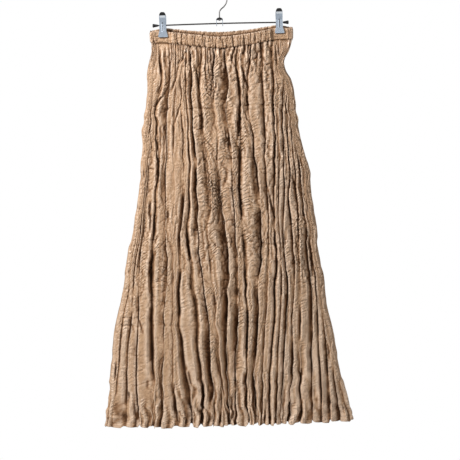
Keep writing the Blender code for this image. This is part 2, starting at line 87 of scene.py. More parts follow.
# Front folds. Each row is one long crease: its place across the front at every crease height, its depth at
# every depth height, and how much of the ridge on its left and on its right is a sunken strip.
CREASE_HEIGHTS = (-156, -220, -283, -348, -414, -480, -545, -610, -675, -740, -806, -880, -954)
DEPTH_HEIGHTS = (-156, -283, -414, -545, -675, -806, -954)
Crease = namedtuple("Crease", "across depth shelf_left shelf_right")
FRONT_CREASES = (
    Crease((-147, -155, -163, -168, -174, -183, -193, -206, -216, -229, -237, -247, -260),
           (0, 1, 3, 4, 6, 6, 8), 0.2, 0.5),
    Crease((-144, -151, -159, -165, -169, -176, -185, -197, -204, -209, -218, -222, -225),
           (2, 2, 2, 4, 5, 4, 6), 0.3, 0.3),
    Crease((-140, -149, -154, -158, -164, -171, -178, -187, -191, -193, -198, -200, -195),
           (3, 4, 5, 6, 8, 5, 7), 0.7, 0.2),
    Crease((-135, -131, -146, -143, -146, -150, -156, -163, -164, -166, -165, -164, -167),
           (9, 8, 8, 7, 10, 9, 8), 0.3, 0.6),
    Crease((-106, -112, -119, -123, -126, -127, -130, -127, -131, -138, -141, -143, -147),
           (6, 8, 10, 4, 5, 3, 5), 0.8, 0.2),
    Crease((-97, -99, -103, -107, -108, -112, -114, -113, -117, -119, -119, -121, -114),
           (2, 4, 1, 0, 3, 2, 5), 0.4, 0.3),
    Crease((-87, -89, -88, -86, -87, -88, -99, -98, -103, -104, -99, -90, -84),
           (2, 3, 2, 7, 9, 8, 8), 0.5, 0.4),
    Crease((-76, -78, -77, -74, -74, -78, -82, -78, -74, -66, -65, -59, -62),
           (2, 2, 5, 7, 7, 8, 8), 0.3, 0.6),
    Crease((-65, -63, -66, -62, -59, -59, -58, -56, -48, -42, -41, -36, -38),
           (4, 8, 9, 7, 7, 9, 8), 0.7, 0.2),
    Crease((-43, -49, -45, -42, -35, -31, -40, -36, -28, -26, -21, -17, -18),
           (5, 5, 2, 2, 3, 2, 6), 0.4, 0.4),
    Crease((-15, -17, -14, -10, -11, -9, 1, 5, 2, 1, -5, -4, 0),
           (5, 1, 2, 8, 10, 10, 10), 0.6, 0.2),
    Crease((9, 16, 6, 16, 18, 20, 23, 27, 25, 23, 17, 14, 17),
           (8, 8, 6, 6, 9, 9, 9), 0.8, 0.2),
    Crease((31, 38, 36, 34, 33, 33, 36, 38, 39, 42, 39, 36, 39),
           (4, 7, 9, 7, 9, 7, 6), 0.3, 0.5),
    Crease((64, 57, 56, 65, 70, 77, 77, 75, 65, 67, 59, 53, 57),
           (3, 5, 7, 6, 8, 8, 7), 0.5, 0.3),
    Crease((92, 89, 91, 92, 90, 93, 93, 91, 87, 82, 75, 72, 70),
           (4, 4, 7, 2, 2, 3, 6), 0.4, 0.3),
    Crease((112, 112, 110, 112, 109, 107, 106, 107, 102, 100, 92, 85, 83),
           (8, 7, 10, 9, 9, 9, 8), 0.3, 0.7),
    Crease((119, 121, 121, 122, 120, 117, 116, 119, 118, 113, 107, 103, 97),
           (0, 1, 2, 3, 3, 5, 6), 0.3, 0.3),
    Crease((127, 135, 132, 131, 131, 130, 125, 127, 133, 127, 121, 114, 110),
           (8, 9, 4, 5, 9, 9, 8), 0.6, 0.2),
    Crease((136, 141, 142, 141, 144, 139, 145, 147, 146, 138, 140, 134, 126),
           (2, 5, 4, 5, 3, 8, 8), 0.4, 0.3),
    Crease((139, 144, 147, 151, 155, 158, 159, 158, 159, 157, 154, 153, 152),
           (1, 3, 5, 3, 2, 6, 8), 0.3, 0.3),
    Crease((141, 147, 151, 157, 165, 170, 175, 178, 182, 184, 180, 179, 178),
           (2, 3, 8, 7, 8, 8, 6), 0.4, 0.3),
    Crease((142, 149, 153, 163, 173, 178, 184, 190, 193, 196, 195, 198, 197),
           (0, 3, 5, 6, 4, 5, 5), 0.3, 0.4),
    Crease((143, 150, 155, 166, 177, 182, 189, 196, 200, 207, 212, 215, 216),
           (0, 2, 3, 3, 7, 6, 5), 0.3, 0.3),
    Crease((144, 151, 156, 169, 180, 186, 191, 200, 205, 217, 224, 229, 237),
           (0, 0, 2, 5, 3, 5, 7), 0.3, 0.3),
)
# Short creases that begin and end within the panel: their top and bottom ends, depth and width.
ShortFold = namedtuple("ShortFold", "x_top z_top x_bottom z_bottom depth width")
FRONT_SHORT_FOLDS = tuple(ShortFold(*row) for row in (
    (-129, -212, -142, -246, 5, 5), (-131, -250, -150, -274, 7, 8), (-90, -268, -105, -313, 4, 5),
    (-86, -165, -95, -185, 3, 4), (26, -166, 19, -182, 4, 4), (31, -176, 37, -213, 3, 4),
    (79, -165, 91, -176, 2.5, 4), (84, -187, 91, -277, 3, 4), (97, -190, 103, -246, 3, 4),
    (91, -280, 93, -330, 3.5, 5), (99, -293, 93, -343, 3, 4), (143, -319, 141, -344, 3, 4),
    (-1, -222, -11, -265, 2, 4), (-41, -342, -26, -364, 2.5, 4), (14, -344, 2, -359, 2, 4),
    (94, -361, 101, -376, 3.5, 5), (167, -388, 171, -410, 4, 5), (149, -425, 151, -456, 6, 5),
    (-30, -414, -25, -452, 3, 5), (7, -415, 0, -452, 4, 5), (-176, -392, -176, -429, 4, 4),
    (-134, -312, -137, -374, 5, 5), (-48, -389, -58, -410, 3, 5), (-162, -475, -163, -551, 8, 6),
    (-124, -501, -123, -517, 4, 4), (-147, -551, -153, -571, 4, 5), (-14, -500, -14, -533, 3.5, 4),
    (-24, -571, -18, -584, 4, 5), (91, -438, 107, -529, 7, 5), (137, -475, 141, -530, 5, 5),
    (130, -548, 129, -584, 4, 5), (182, -560, 187, -658, 6, 12), (-39, -616, -40, -634, 3, 4),
    (-212, -628, -216, -637, 3, 4), (-215, -728, -203, -764, 2.5, 4), (-194, -725, -184, -765, 4, 4),
    (-175, -860, -176, -885, 3, 4), (-119, -872, -120, -894, 5, 4), (-113, -879, -95, -927, 3, 5),
    (-111, -927, -92, -956, 4, 5), (-94, -822, -72, -913, 5, 5), (-46, -867, -43, -914, 4, 4),
    (-18, -853, -12, -900, 5, 5), (33, -850, 30, -879, 5, 4), (74, -932, 72, -968, 4, 4),
    (117, -751, 120, -762, 3, 4), (156, -846, 154, -883, 6, 7), (154, -934, 154, -952, 5, 5),
    (184, -891, 193, -956, 3, 5), (212, -786, 220, -855, 6, 5), (234, -918, 257, -954, 3, 6),
    (-245, -821, -248, -865, 5, 5), (-219, -889, -218, -902, 4, 4), (4, -901, 8, -966, 8, 7),
    (15, -843, 12, -886, 6, 6), (85, -874, 86, -903, 5, 7), (-74, -146, -90, -184, 5, 5),
    (-90, -182, -109, -245, 4, 5), (-34, -146, -32, -234, 4, 5), (-17, -146, -18, -199, 5, 4),
    (16, -146, 5, -226, 5, 5), (29, -146, 18, -209, 4, 4), (39, -168, 61, -254, 4, 6),
    (81, -146, 98, -185, 5, 5), (90, -146, 72, -180, 4, 5), (-55, -185, -48, -259, 5, 5),
    (-8, -215, -20, -269, 4, 5), (105, -240, 112, -307, 5, 5), (45, -186, 51, -226, 4, 5),
    (-118, -146, -122, -196, 5, 5), (119, -146, 124, -190, 5, 5), (52, -146, 47, -178, 4, 4),
))
BACK_FOLDS = 24
BACK_SHORT_FOLDS = 56
BACK_SHORT_SEED = 5
LEAST_SPACING = 1.2
# The dips take up at most this share of the room between the ridge tops and the middle plane.
SPARE_DEPTH = 0.8
# A crease's depth is at most this share of the space to the next one, beyond the least spacing.
STEEPEST = 0.75
# Reach of a crease's narrow slot, and what each millimetre of depth adds to it.
SLOT_REACH = 1.2
SLOT_SPREAD = 0.17
# The ribbons between creases tilt by their width, counted up to this one.
WIDEST_TILT = 12.0
# Folds that turn by more than this angle, in degrees, have sharp edges.
SHARP_FOLD = 22.0
# The pleats lap one way, most of all low down: right sides slope gently and left sides are steep.
UPPER_LAP = 0.16
LOWER_LAP = 0.24
LAP_STARTS = -620.0
LAP_FULL = -760.0
# How far a ridge bulges sideways over a deep crease beside it.
BULGE = 3.5
# Bends of the creases all the way down, and kinks near the hem: how far and how often.
BEND = 1.3
BEND_PERIOD = 105
HEM_KINK = 1.6
KINK_PERIOD = 52
# Cloth map: how much longer the cloth is across than its ridges are wide, and its steps round the sides.
ACROSS_PER_WIDTH = 1.15
ARC_STEPS = 6
ARC_PITCH = 2.5
ARC_FROM_MIDDLE = 5.0

# Fine rows at the hem: how high they reach and their spacing.
HEM_HEIGHT = 14
HEM_ROW_STEP = 1.75

# Relief of the panels in millimetres, with the limits of it all and the waves of the side edges.
FACET_HEIGHT = 0.5
RIBBON_HEIGHT = 1.0
CHEVRON_HEIGHT = 1.4
CREASE_DEPTH = 1.3
LINE_DEPTH = 1.6
PACKING_DEPTH = 1.3
GATHER_HEIGHT = 2.1
HEM_SPLIT_HEIGHT = 2.9
LOWEST_RELIEF = -4.0
HIGHEST_RELIEF = 3.4
SIDE_WAVE = 1.6
SIDE_WAVE_SEED = 77
# However deep the relief, the cloth stays this far from the middle plane.
INNERMOST = HALF_GAP + 0.02
# The hem's edge rises in the creases and falls in uneven steps: where that starts, how far and how often.
SCALLOPS_START = -896
SCALLOP_RISE = 5.0
SCALLOP_STEP = 4.5
SCALLOP_LENGTH = 27

# What differs between the two panels and between the two halves of the waistband. Each pattern of the cloth
# has its own seed, counted on from the one here. Evenness, from 0 to 1, takes puckers out, and shade, from 0
# to 1, darkens the half that shows behind the front's top edge.
PanelSide = namedtuple("PanelSide", "facing top_edge seed spacing row_step")
FRONT_SIDE = PanelSide(-1, "front_top", 20, 1.9, 2.2)
BACK_SIDE = PanelSide(1, "back_top", 50, 2.3, 3.8)
BandSide = namedtuple("BandSide", "facing top_edge seed evenness shade")
FRONT_BAND = BandSide(-1, "front_top", 3, 0.0, 0.0)
BACK_BAND = BandSide(1, "back_top", 5, 0.9, 0.75)

# Waistband, which sags between the clips: places across it, with the top edges of the back and the front.
BandPlace = namedtuple("BandPlace", "x back_top front_top")
BAND_PLACES = (
    BandPlace(-154, -105.0, -108.5),
    BandPlace(-125, -101.0, -108.0),
    BandPlace(-105, -101.5, -111.5),
    BandPlace(-65, -106.0, -117.0),
    BandPlace(0, -110.0, -124.0),
    BandPlace(65, -106.5, -118.0),
    BandPlace(105, -101.5, -111.0),
    BandPlace(129, -100.5, -107.0),
    BandPlace(158, -105.0, -109.5),
)
BandRow = namedtuple("BandRow", "share left right drawn_in")
BAND_ROWS = (
    BandRow(0.0, -151.5, 156.5, 1.0),
    BandRow(0.22, -154.0, 158.5, 0.0),
    BandRow(0.75, -154.5, 159.0, 0.0),
    BandRow(1.0, -152.5, 157.5, 0.7),
)
BAND_HEIGHT = 25.0
BAND_DEPTH = 11.0
BAND_SIDE_RADIUS = 4.0
BAND_WALL = 2.5
PUCKERS = 40
PUCKER_WIDTH = 7.6
PUCKER_SLOT = 1.15
PUCKER_ACROSS = 9.0
PUCKER_COLUMNS = 12
SEEN_RISE = 4.5
# Below this height the skirt doesn't follow the waistband's sag.
SAG_ENDS = -300.0

# Clips pinch the cloth flat. The pinch eases off to each side and below the jaws.
CLIP_PLACES = {"left": -125.0, "right": 129.0}
PINCH_FLAT = 11.5
PINCH_REACH = 22.0
PINCH_BOTTOM = -122.0
PINCH_ENDS = -165.0

# Zones of the hanger's plates, as boxes seen from the front: pale heads, black caps and painted shade in the
# slots.
Mark = namedtuple("Mark", "x z half_width half_height colour dull")
BLACK = (0.006, 0.006, 0.007)
# Painted shade for the recessed slots of the clip plates.
SLOT_SHADE_GREY = (0.05, 0.055, 0.065)
PALE_STEEL = (0.62, 0.66, 0.7)
MARK_EDGE = 0.8
CLIP_MARKS = {
    "left": (Mark(-125.0, -76.5, 6.2, 2.2, PALE_STEEL, 0.3), Mark(-125.0, -68.5, 12.0, 5.8, BLACK, 1.0),
             Mark(-125.0, -98.5, 1.3, 9.5, SLOT_SHADE_GREY, 0.6)),
    "right": (Mark(129.0, -74.5, 6.2, 2.2, PALE_STEEL, 0.3), Mark(129.0, -66.5, 12.0, 5.8, BLACK, 1.0),
              Mark(129.0, -96.5, 1.1, 9.0, SLOT_SHADE_GREY, 0.6)),
}
BRACKET_MARKS = (Mark(-1.0, -82.0, 12.0, 4.2, BLACK, 1.0),)

# Patches by place, half width, half height and strength. First those where the cloth is crumpled.
Patch = namedtuple("Patch", "x z wide tall strength")
CRUMPLED_PATCHES = tuple(Patch(*row) for row in (
    (-5, -430, 85, 260, 0.55), (90, -240, 50, 110, 0.45), (150, -560, 50, 160, 0.4),
    (-25, -250, 22, 90, 1.0), (58, -200, 14, 70, 0.6), (-80, -235, 16, 50, 0.7),
    (-70, -347, 10, 22, 0.7), (50, -345, 20, 28, 1.0), (5, -365, 18, 50, 0.8),
    (-22, -480, 22, 60, 1.0), (58, -490, 18, 60, 0.8), (-20, -590, 26, 36, 1.0),
    (-140, -615, 14, 42, 1.0), (58, -560, 16, 40, 0.7), (159, -600, 12, 36, 1.0),
    (-177, -620, 12, 30, 0.5), (50, -752, 20, 40, 0.8), (-42, -790, 26, 45, 0.6),
    (30, -800, 30, 40, 0.5), (133, -835, 12, 32, 0.6), (-195, -905, 14, 24, 0.5),
))
LEAST_CRUMPLED = 0.2
# Where the cloth lies in broad smooth ribbons.
SMOOTH_PATCHES = tuple(Patch(*row) for row in (
    (-107, -410, 17, 100, 0.95), (-76, -420, 11, 80, 0.8), (-107, -640, 14, 60, 0.6),
    (124, -515, 14, 50, 0.9), (-178, -770, 22, 60, 0.7), (-90, -800, 22, 70, 0.8),
    (80, -700, 20, 50, 0.5), (175, -800, 25, 90, 0.8), (-225, -900, 20, 50, 0.8),
    (-130, -200, 12, 40, 0.6), (-98, -255, 14, 60, 0.7), (-10, -300, 10, 40, 0.6),
    (75, -300, 14, 60, 0.6),
))
CRINKLED_ABOVE = -600.0
SMOOTH_BELOW = -780.0
# The pleats kink where they cross a packing crease.
PACKING_CREASES = (-275, -388, -455, -575, -747)
PACKING_PULL = 2.2

# Stitches, which lie in a row under the top edge of each half of the waistband.
STITCH_PITCH = 2.8
STITCH_LENGTH = 2.1
STITCH_WIDTH = 0.45
STITCH_LIFT = 0.1

# Studio: the camera's lens and sensor in millimetres, and in metres the middle of the view, the place and
# size of each light and the floor's radius.
LENS = 85
SENSOR_WIDTH = 36
VIEW_MIDDLE = (0.0098, 0.0, -0.5446)
KEY_LIGHT = (-1.3, -1.0, 0.7), 0.3
FILL_LIGHT = (1.0, -2.0, 0.3), 0.8
BACK_LIGHT = (1.6, 1.6, 0.6), 0.9
BACK_LIGHT_SHARE = 0.8
FLOOR_RADIUS = 0.8


def smooth_between(keys, values, at):
    """Values at many places, on a smooth curve through the values at falling or rising keys."""
    keys = np.asarray(keys, float)
    values = np.asarray(values, float)
    if keys[0] > keys[-1]:
        keys, values = keys[::-1], values[::-1]
    at = np.clip(at, keys[0], keys[-1])
    step = np.clip(np.searchsorted(keys, at, side="left") - 1, 0, len(keys) - 2)
    share = (at - keys[step]) / (keys[step + 1] - keys[step])
    before = values[np.maximum(step - 1, 0)]
    start, end = values[step], values[step + 1]
    after = values[np.minimum(step + 2, len(values) - 1)]
    lean_in, lean_out = (end - before) / 2, (after - start) / 2
    return ((2 * share ** 3 - 3 * share ** 2 + 1) * start + (share ** 3 - 2 * share ** 2 + share) * lean_in
            + (3 * share ** 2 - 2 * share ** 3) * end + (share ** 3 - share ** 2) * lean_out)


def eased(value, start, end):
    """A smooth step from 0 at the start to 1 at the end."""
    share = np.clip((value - start) / (end - start), 0.0, 1.0)
    return share * share * (3 - 2 * share)


def waves(across, along, seed):
    """Smooth uneven relief between -1 and 1, one bump to a unit each way, the same for the same seed."""
    size = 128
    table = np.random.default_rng(seed).uniform(-1, 1, (size, size))
    column, row = np.floor(across).astype(int), np.floor(along).astype(int)
    share_x, share_y = across - column, along - row
    share_x = share_x * share_x * (3 - 2 * share_x)
    share_y = share_y * share_y * (3 - 2 * share_y)
    low = table[row % size, column % size] * (1 - share_x) + table[row % size, (column + 1) % size] * share_x
    high = (table[(row + 1) % size, column % size] * (1 - share_x)
            + table[(row + 1) % size, (column + 1) % size] * share_x)
    return low * (1 - share_y) + high * share_y


def sharp_lines(across, along, seed, width):
    """Lines of even width, in grid steps, where uneven relief crosses zero: 1 on a line, 0 away from it."""
    relief = waves(across, along, seed)
    steep = np.hypot(np.gradient(relief, axis=0), np.gradient(relief, axis=1))
    return np.clip(1 - np.abs(relief) / (width * steep + 0.004), 0, 1) ** 1.5


def pinch(x, z):
    """How far the clips flatten the cloth here, from 0 to 1."""
    below = eased(z, PINCH_ENDS, PINCH_BOTTOM)
    nearest = np.minimum(*[np.abs(x - place) for place in CLIP_PLACES.values()])
    return below * (1 - eased(nearest, PINCH_FLAT, PINCH_REACH))


def stand_off(x, z, left, right, depth, side_radius, wall):
    """How far the ridge tops stand from the middle plane at places between the side arcs."""
    middle = (left + right) / 2
    half = (right - left) / 2 - side_radius
    share = np.minimum(np.abs(x - middle) / half, 1.0)
    free = HALF_GAP + side_radius + (depth - side_radius) * (1 - share ** PLAN_POWER)
    squeeze = pinch(x, z)
    return free * (1 - squeeze) + (HALF_GAP + wall) * squeeze


def section_value(name, z):
    """One named column of the section table, at many heights."""
    return smooth_between([row.z for row in SECTIONS], [getattr(row, name) for row in SECTIONS], z)


def band_edge(x, edge):
    """The height of a named edge of the band above many places."""
    return smooth_between([place.x for place in BAND_PLACES],
                          [getattr(place, edge) for place in BAND_PLACES], x)


def back_creases():
    """Folds of the back, which are as uneven as those of the front and fan out in the same way."""
    creases = []
    heights = np.array(CREASE_HEIGHTS, float)
    radius = section_value("side_radius", heights)
    first = section_value("left", heights) + radius
    last = section_value("right", heights) - radius
    levels = np.arange(len(heights)) / 2
    depth_levels = np.arange(len(DEPTH_HEIGHTS))
    for fold in range(BACK_FOLDS):
        share = (fold + 0.8 + 0.28 * math.sin(2.1 * fold + 0.7)) / (BACK_FOLDS + 0.6)
        wander = 3.2 * np.sin(1.3 * fold + 1.1 * levels) * min(share, 1 - share) * 2
        across = first + (last - first) * share + wander
        near_side = 1 - abs(2 * share - 1) ** 4
        top = (4.5 + 3.0 * math.sin(1.9 * fold)) * near_side
        middle = (6.5 + 2.5 * math.sin(2.7 * fold + 1.0)) * near_side
        low = 6.5 + 2.5 * math.sin(2.3 * fold + 2.0)
        depth = np.interp(-np.array(DEPTH_HEIGHTS), (156, 414, 675, 954), (top, middle, low, low + 1.0))
        depth = depth * (1 + 0.3 * np.sin(1.7 * fold + 1.9 * depth_levels))
        shelves = 0.45 + 0.3 * math.sin(1.4 * fold), 0.45 - 0.3 * math.sin(1.4 * fold + 0.8)
        creases.append(Crease(across, depth, *shelves))
    return tuple(creases)


def back_short_folds():
    """Short creases of the back, as uneven in place, length and depth as those of the front."""
    chance = np.random.default_rng(BACK_SHORT_SEED)
    folds = []
    for _ in range(BACK_SHORT_FOLDS):
        top = chance.uniform(-900, -165)
        left, right = section_value("left", top), section_value("right", top)
        across = left + (right - left) * chance.uniform(0.06, 0.94)
        bottom = top - chance.uniform(18, 75)
        depth, width = chance.uniform(2.5, 6), chance.uniform(4, 6.5)
        folds.append(ShortFold(across, top, across + chance.uniform(-9, 9), bottom, depth, width))
    return tuple(folds)


def fold_stops(creases, z, first, last):
    """Places of every crease at many heights, in order, with the two limits first and last."""
    stops = [first]
    loose = eased(z, SKIRT_TOP, SKIRT_TOP - 120)
    for number, crease in enumerate(creases):
        place = smooth_between(CREASE_HEIGHTS, crease.across, z)
        wander = 1.5 * waves(z / 34, z * 0 + number * 2.7, 11)
        wander = wander + 0.4 * waves(z / 11, z * 0 + number * 3.1, 12)
        bend = zigzag(z / BEND_PERIOD + 0.21 * number + 0.8 * waves(z / 90, z * 0 + number * 0.9, 13))
        kink = zigzag(z / KINK_PERIOD + 0.17 * number + 0.8 * waves(z / 60, z * 0 + number * 0.9, 14))
        wander = wander + BEND * bend + HEM_KINK * kink * eased(z, SKIRT_HEM + 130, SKIRT_HEM + 70)
        for height in PACKING_CREASES:
            pull = PACKING_PULL * math.sin(4.7 * number + height)
            wander = wander + pull * np.exp(-np.abs(z - height) / 14)
        place = place + loose * wander * crease_freedom(creases, number)
        stops.append(np.maximum(place, stops[-1] + LEAST_SPACING))
    stops.append(last)
    for number in range(len(stops) - 2, 0, -1):
        stops[number] = np.minimum(stops[number], stops[number + 1] - LEAST_SPACING)
    return np.concatenate(stops, axis=1)


def crease_freedom(creases, number):
    """How freely a crease may wander, from 0 to 1, by how near its neighbours are half way down."""
    middle = len(CREASE_HEIGHTS) // 2
    places = [crease.across[middle] for crease in creases]
    nearest = min(abs(places[number] - place) for other, place in enumerate(places) if other != number)
    return min(nearest / 18, 1.0)


def slot_shape(distance, depth):
    """How deep a crease's narrow slot is, from 1 in the crease to 0 away from it."""
    return np.exp(-(distance / (SLOT_REACH + SLOT_SPREAD * depth)) ** 1.5)


def fold_dip(share, width, shelf, depth, pressed):
    """Half a crease across its ridge, as a narrow slot and a flat slope, and the shade painted into it.

    A crease is narrow, with deep painted shade, where it is pressed, and soft where it isn't.
    """
    distance = share * width
    slot = slot_shape(distance, depth) * pressed
    slope = np.clip(1 - share / (0.04 + 0.75 * shelf ** 1.5), 0, 1)
    dip = depth * (0.2 * slot + 1.05 * slope)
    dark = np.clip(depth / 7.5, 0, 1) * (0.85 * slot ** 1.4 + 0.5 * eased(slope, 0.1, 0.8))
    return dip, dark


def short_dips(x, z, folds, seed):
    """Depth and painted shade of the short creases at many places."""
    dip, dark = np.zeros_like(x), np.zeros_like(x)
    for number, fold in enumerate(folds):
        rows = (z.max(axis=1) > fold.z_bottom) & (z.min(axis=1) < fold.z_top)
        near_x, near_z = x[rows], z[rows]
        share = np.clip((fold.z_top - near_z) / (fold.z_top - fold.z_bottom), 0, 1)
        centre = fold.x_top + (fold.x_bottom - fold.x_top) * share
        centre = centre + 1.2 * waves(near_z / 14, near_z * 0 + number, seed)
        strength = (4 * share * (1 - share)) ** 0.6 * slot_shape(np.abs(near_x - centre), fold.width)
        dip[rows] += fold.depth * strength
        dark[rows] += np.clip(fold.depth / 8, 0, 1) * strength ** 1.5
    return dip, dark


def zigzag(phase):
    """A wave of straight slopes and sharp ridges, between -1 and 1."""
    return 4 * np.abs(phase - np.floor(phase + 0.5)) - 1


def sag_drop(x, z, top_edge):
    """How far the cloth is lowered towards the sagging waist seam."""
    seam = band_edge(x, top_edge) - BAND_HEIGHT - 2 * HALF_GAP
    return (seam - SKIRT_TOP) * eased(z, SAG_ENDS, SKIRT_TOP)


Grid = namedtuple("Grid", "x y z dark across from_middle spread")


def ridge_columns(creases, spacing):
    """The grid's columns between the side arcs: the ridge and share across it of each, and all widths."""
    heights = np.array([[-320.0], [-620.0], [-920.0]])
    radius = section_value("side_radius", heights)
    first, last = section_value("left", heights) + radius, section_value("right", heights) - radius
    widths = np.diff(fold_stops(creases, heights, first, last), axis=1).mean(axis=0)
    ridges, shares = [], []
    for ridge, width in enumerate(widths):
        steps = np.arange(int(np.clip(round(width / spacing), 4, 24)))
        even = steps / len(steps)
        shares.append(even - 0.45 * np.sin(2 * math.pi * even) / (2 * math.pi))
        ridges.append(np.full(len(steps), ridge))
    return np.concatenate(ridges), np.concatenate(shares), widths


def side_arcs(left, right, radius):
    """The left and the right side of level sections, as x and distance from the middle plane."""
    turn = np.radians(90 * np.arange(ARC_STEPS) / ARC_STEPS)[None, :]
    turn_back = np.radians(90 - 90 * np.arange(ARC_STEPS + 1) / ARC_STEPS)[None, :]
    return ((left + radius - radius * np.cos(turn), HALF_GAP + radius * np.sin(turn)),
            (right - radius + radius * np.cos(turn_back), HALF_GAP + radius * np.sin(turn_back)))


def beside_arcs(values, on_arcs):
    """Rows of values, with one value added for every column of the side arcs."""
    return np.pad(values, ((0, 0), (ARC_STEPS, ARC_STEPS + 1)), constant_values=on_arcs)


def panel_surface(creases, short_folds, side, rows, wall):
    """Fine points of one panel: x, distance from the middle plane, z, the shade painted into its creases and
    place along the cloth.

    Spread, from 0 to 1, is how far each ridge keeps its usual width where creases crowd.
    """
    z, seed = rows[:, None], side.seed
    left, right = section_value("left", z), section_value("right", z)
    depth, radius = section_value("depth", z), section_value("side_radius", z)
    stops = fold_stops(creases, z, left + radius, right - radius)
    zero = np.zeros_like(z)
    depths = [zero] + [smooth_between(DEPTH_HEIGHTS, crease.depth, z) for crease in creases] + [zero]
    depths = np.concatenate(depths, axis=1)
    number = np.arange(depths.shape[1])[None, :]
    uneven = 1 + 0.9 * waves(z / 44, number * 2.3, seed + 1) + 0.45 * waves(z / 17, number * 3.1, seed + 2)
    gaps = np.diff(stops, axis=1)
    nearest = np.concatenate([gaps[:, :1], np.minimum(gaps[:, 1:], gaps[:, :-1]), gaps[:, -1:]], axis=1)
    deepest = STEEPEST * np.maximum(nearest - LEAST_SPACING, 0)
    depths = np.minimum(depths * np.clip(uneven, 0.1, 1.7), deepest)
    pressed = np.clip(0.72 + 1.1 * waves(z / 27, number * 4.1, seed + 21), 0.08, 1.2)
    shelf_right = np.array([0.3] + [crease.shelf_right for crease in creases] + [0.3])
    shelf_left = np.array([0.3] + [crease.shelf_left for crease in creases] + [0.3])
    laps = (shelf_right - shelf_left)[None, :] * np.clip(depths / 7, 0, 1)

    ridges, shares, widths = ridge_columns(creases, side.spacing)
    share = shares[None, :]
    low, high = stops[:, ridges], stops[:, ridges + 1]
    width = high - low
    x = low + width * share
    top = stand_off(x, z, left, right, depth, radius, wall)
    lapped = UPPER_LAP + (LOWER_LAP - UPPER_LAP) * eased(z, LAP_STARTS, LAP_FULL)
    gentle = np.clip(shelf_left[ridges + 1] + lapped, 0.05, 0.9)
    steep = np.clip(shelf_right[ridges] - 0.6 * lapped, 0.05, 0.9)
    dip_left, crease_shade_left = fold_dip(share, width, steep, depths[:, ridges], pressed[:, ridges])
    dip_right, crease_shade_right = fold_dip(1 - share, width, gentle, depths[:, ridges + 1], pressed[:, ridges + 1])
    dip_short, short_crease_shade = short_dips(x, z + sag_drop(x, z, side.top_edge), short_folds, seed + 30)
    lean = 0.85 * waves(z / 75, ridges[None, :] * 1.9, seed + 31)
    lean = lean + 0.16 * waves(z / 21, ridges[None, :] * 2.9, seed + 32)
    edge = eased(np.minimum(share, 1 - share) * width, 0.5, 4.0)
    dip = dip_left + dip_right + dip_short + lean * (share - 0.5) * np.minimum(width, WIDEST_TILT) * edge
    room = (top - wall - HALF_GAP) * SPARE_DEPTH
    dip = room * np.tanh(dip / np.maximum(room, 0.01))
    # The painted shade of a place is the deepest of the creases beside it and of the short creases.
    dark = np.maximum(np.maximum(crease_shade_left, crease_shade_right), short_crease_shade)
    lap_right = np.maximum(laps[:, ridges + 1], 0) * np.sin(math.pi * share ** 4)
    lap_left = np.minimum(laps[:, ridges], 0) * np.sin(math.pi * (1 - share) ** 4)
    x = x + BULGE * (lap_right + lap_left) * np.clip(width / 14, 0, 1)

    left_arc, right_arc = side_arcs(left, right, radius)
    starts = np.concatenate([[0], np.cumsum(widths)]) * ACROSS_PER_WIDTH
    across = starts[ridges] + shares * widths[ridges] * ACROSS_PER_WIDTH
    arc = np.arange(ARC_STEPS + 1) * ARC_PITCH
    across = np.concatenate([arc[:-1] - ARC_STEPS * ARC_PITCH, across, starts[-1] + arc])
    middles = beside_arcs(np.abs(shares - 0.5)[None, :] * widths[None, ridges], ARC_FROM_MIDDLE)
    xs = np.concatenate([left_arc[0], x, right_arc[0]], axis=1)
    ys = np.concatenate([left_arc[1], top - dip, right_arc[1]], axis=1)
    flat = np.zeros_like(xs)
    spread = beside_arcs(np.clip(1.3 * width / widths[None, ridges], 0, 1), 1)
    return Grid(xs, ys, z + flat, beside_arcs(dark, 0), across[None, :] + flat, middles + flat, spread)


def patch_share(patches, x, z, least):
    """The strength of the strongest patch at many places, which is at least the given value."""
    share = np.full_like(x, least)
    for patch in patches:
        reach = ((x - patch.x) / patch.wide) ** 2 + ((z - patch.z) / patch.tall) ** 2
        share = np.maximum(share, patch.strength * np.exp(-reach * 0.8))
    return share


def crumpled_share(x, z, seed):
    """How crumpled the cloth is here, from 0 to 1."""
    uneven = 0.8 + 0.6 * waves(x / 26, z / 40, seed)
    share = patch_share(CRUMPLED_PATCHES, x, z, LEAST_CRUMPLED) * uneven
    return np.clip(share, 0, 1) * (1 - patch_share(SMOOTH_PATCHES, x, z, 0))


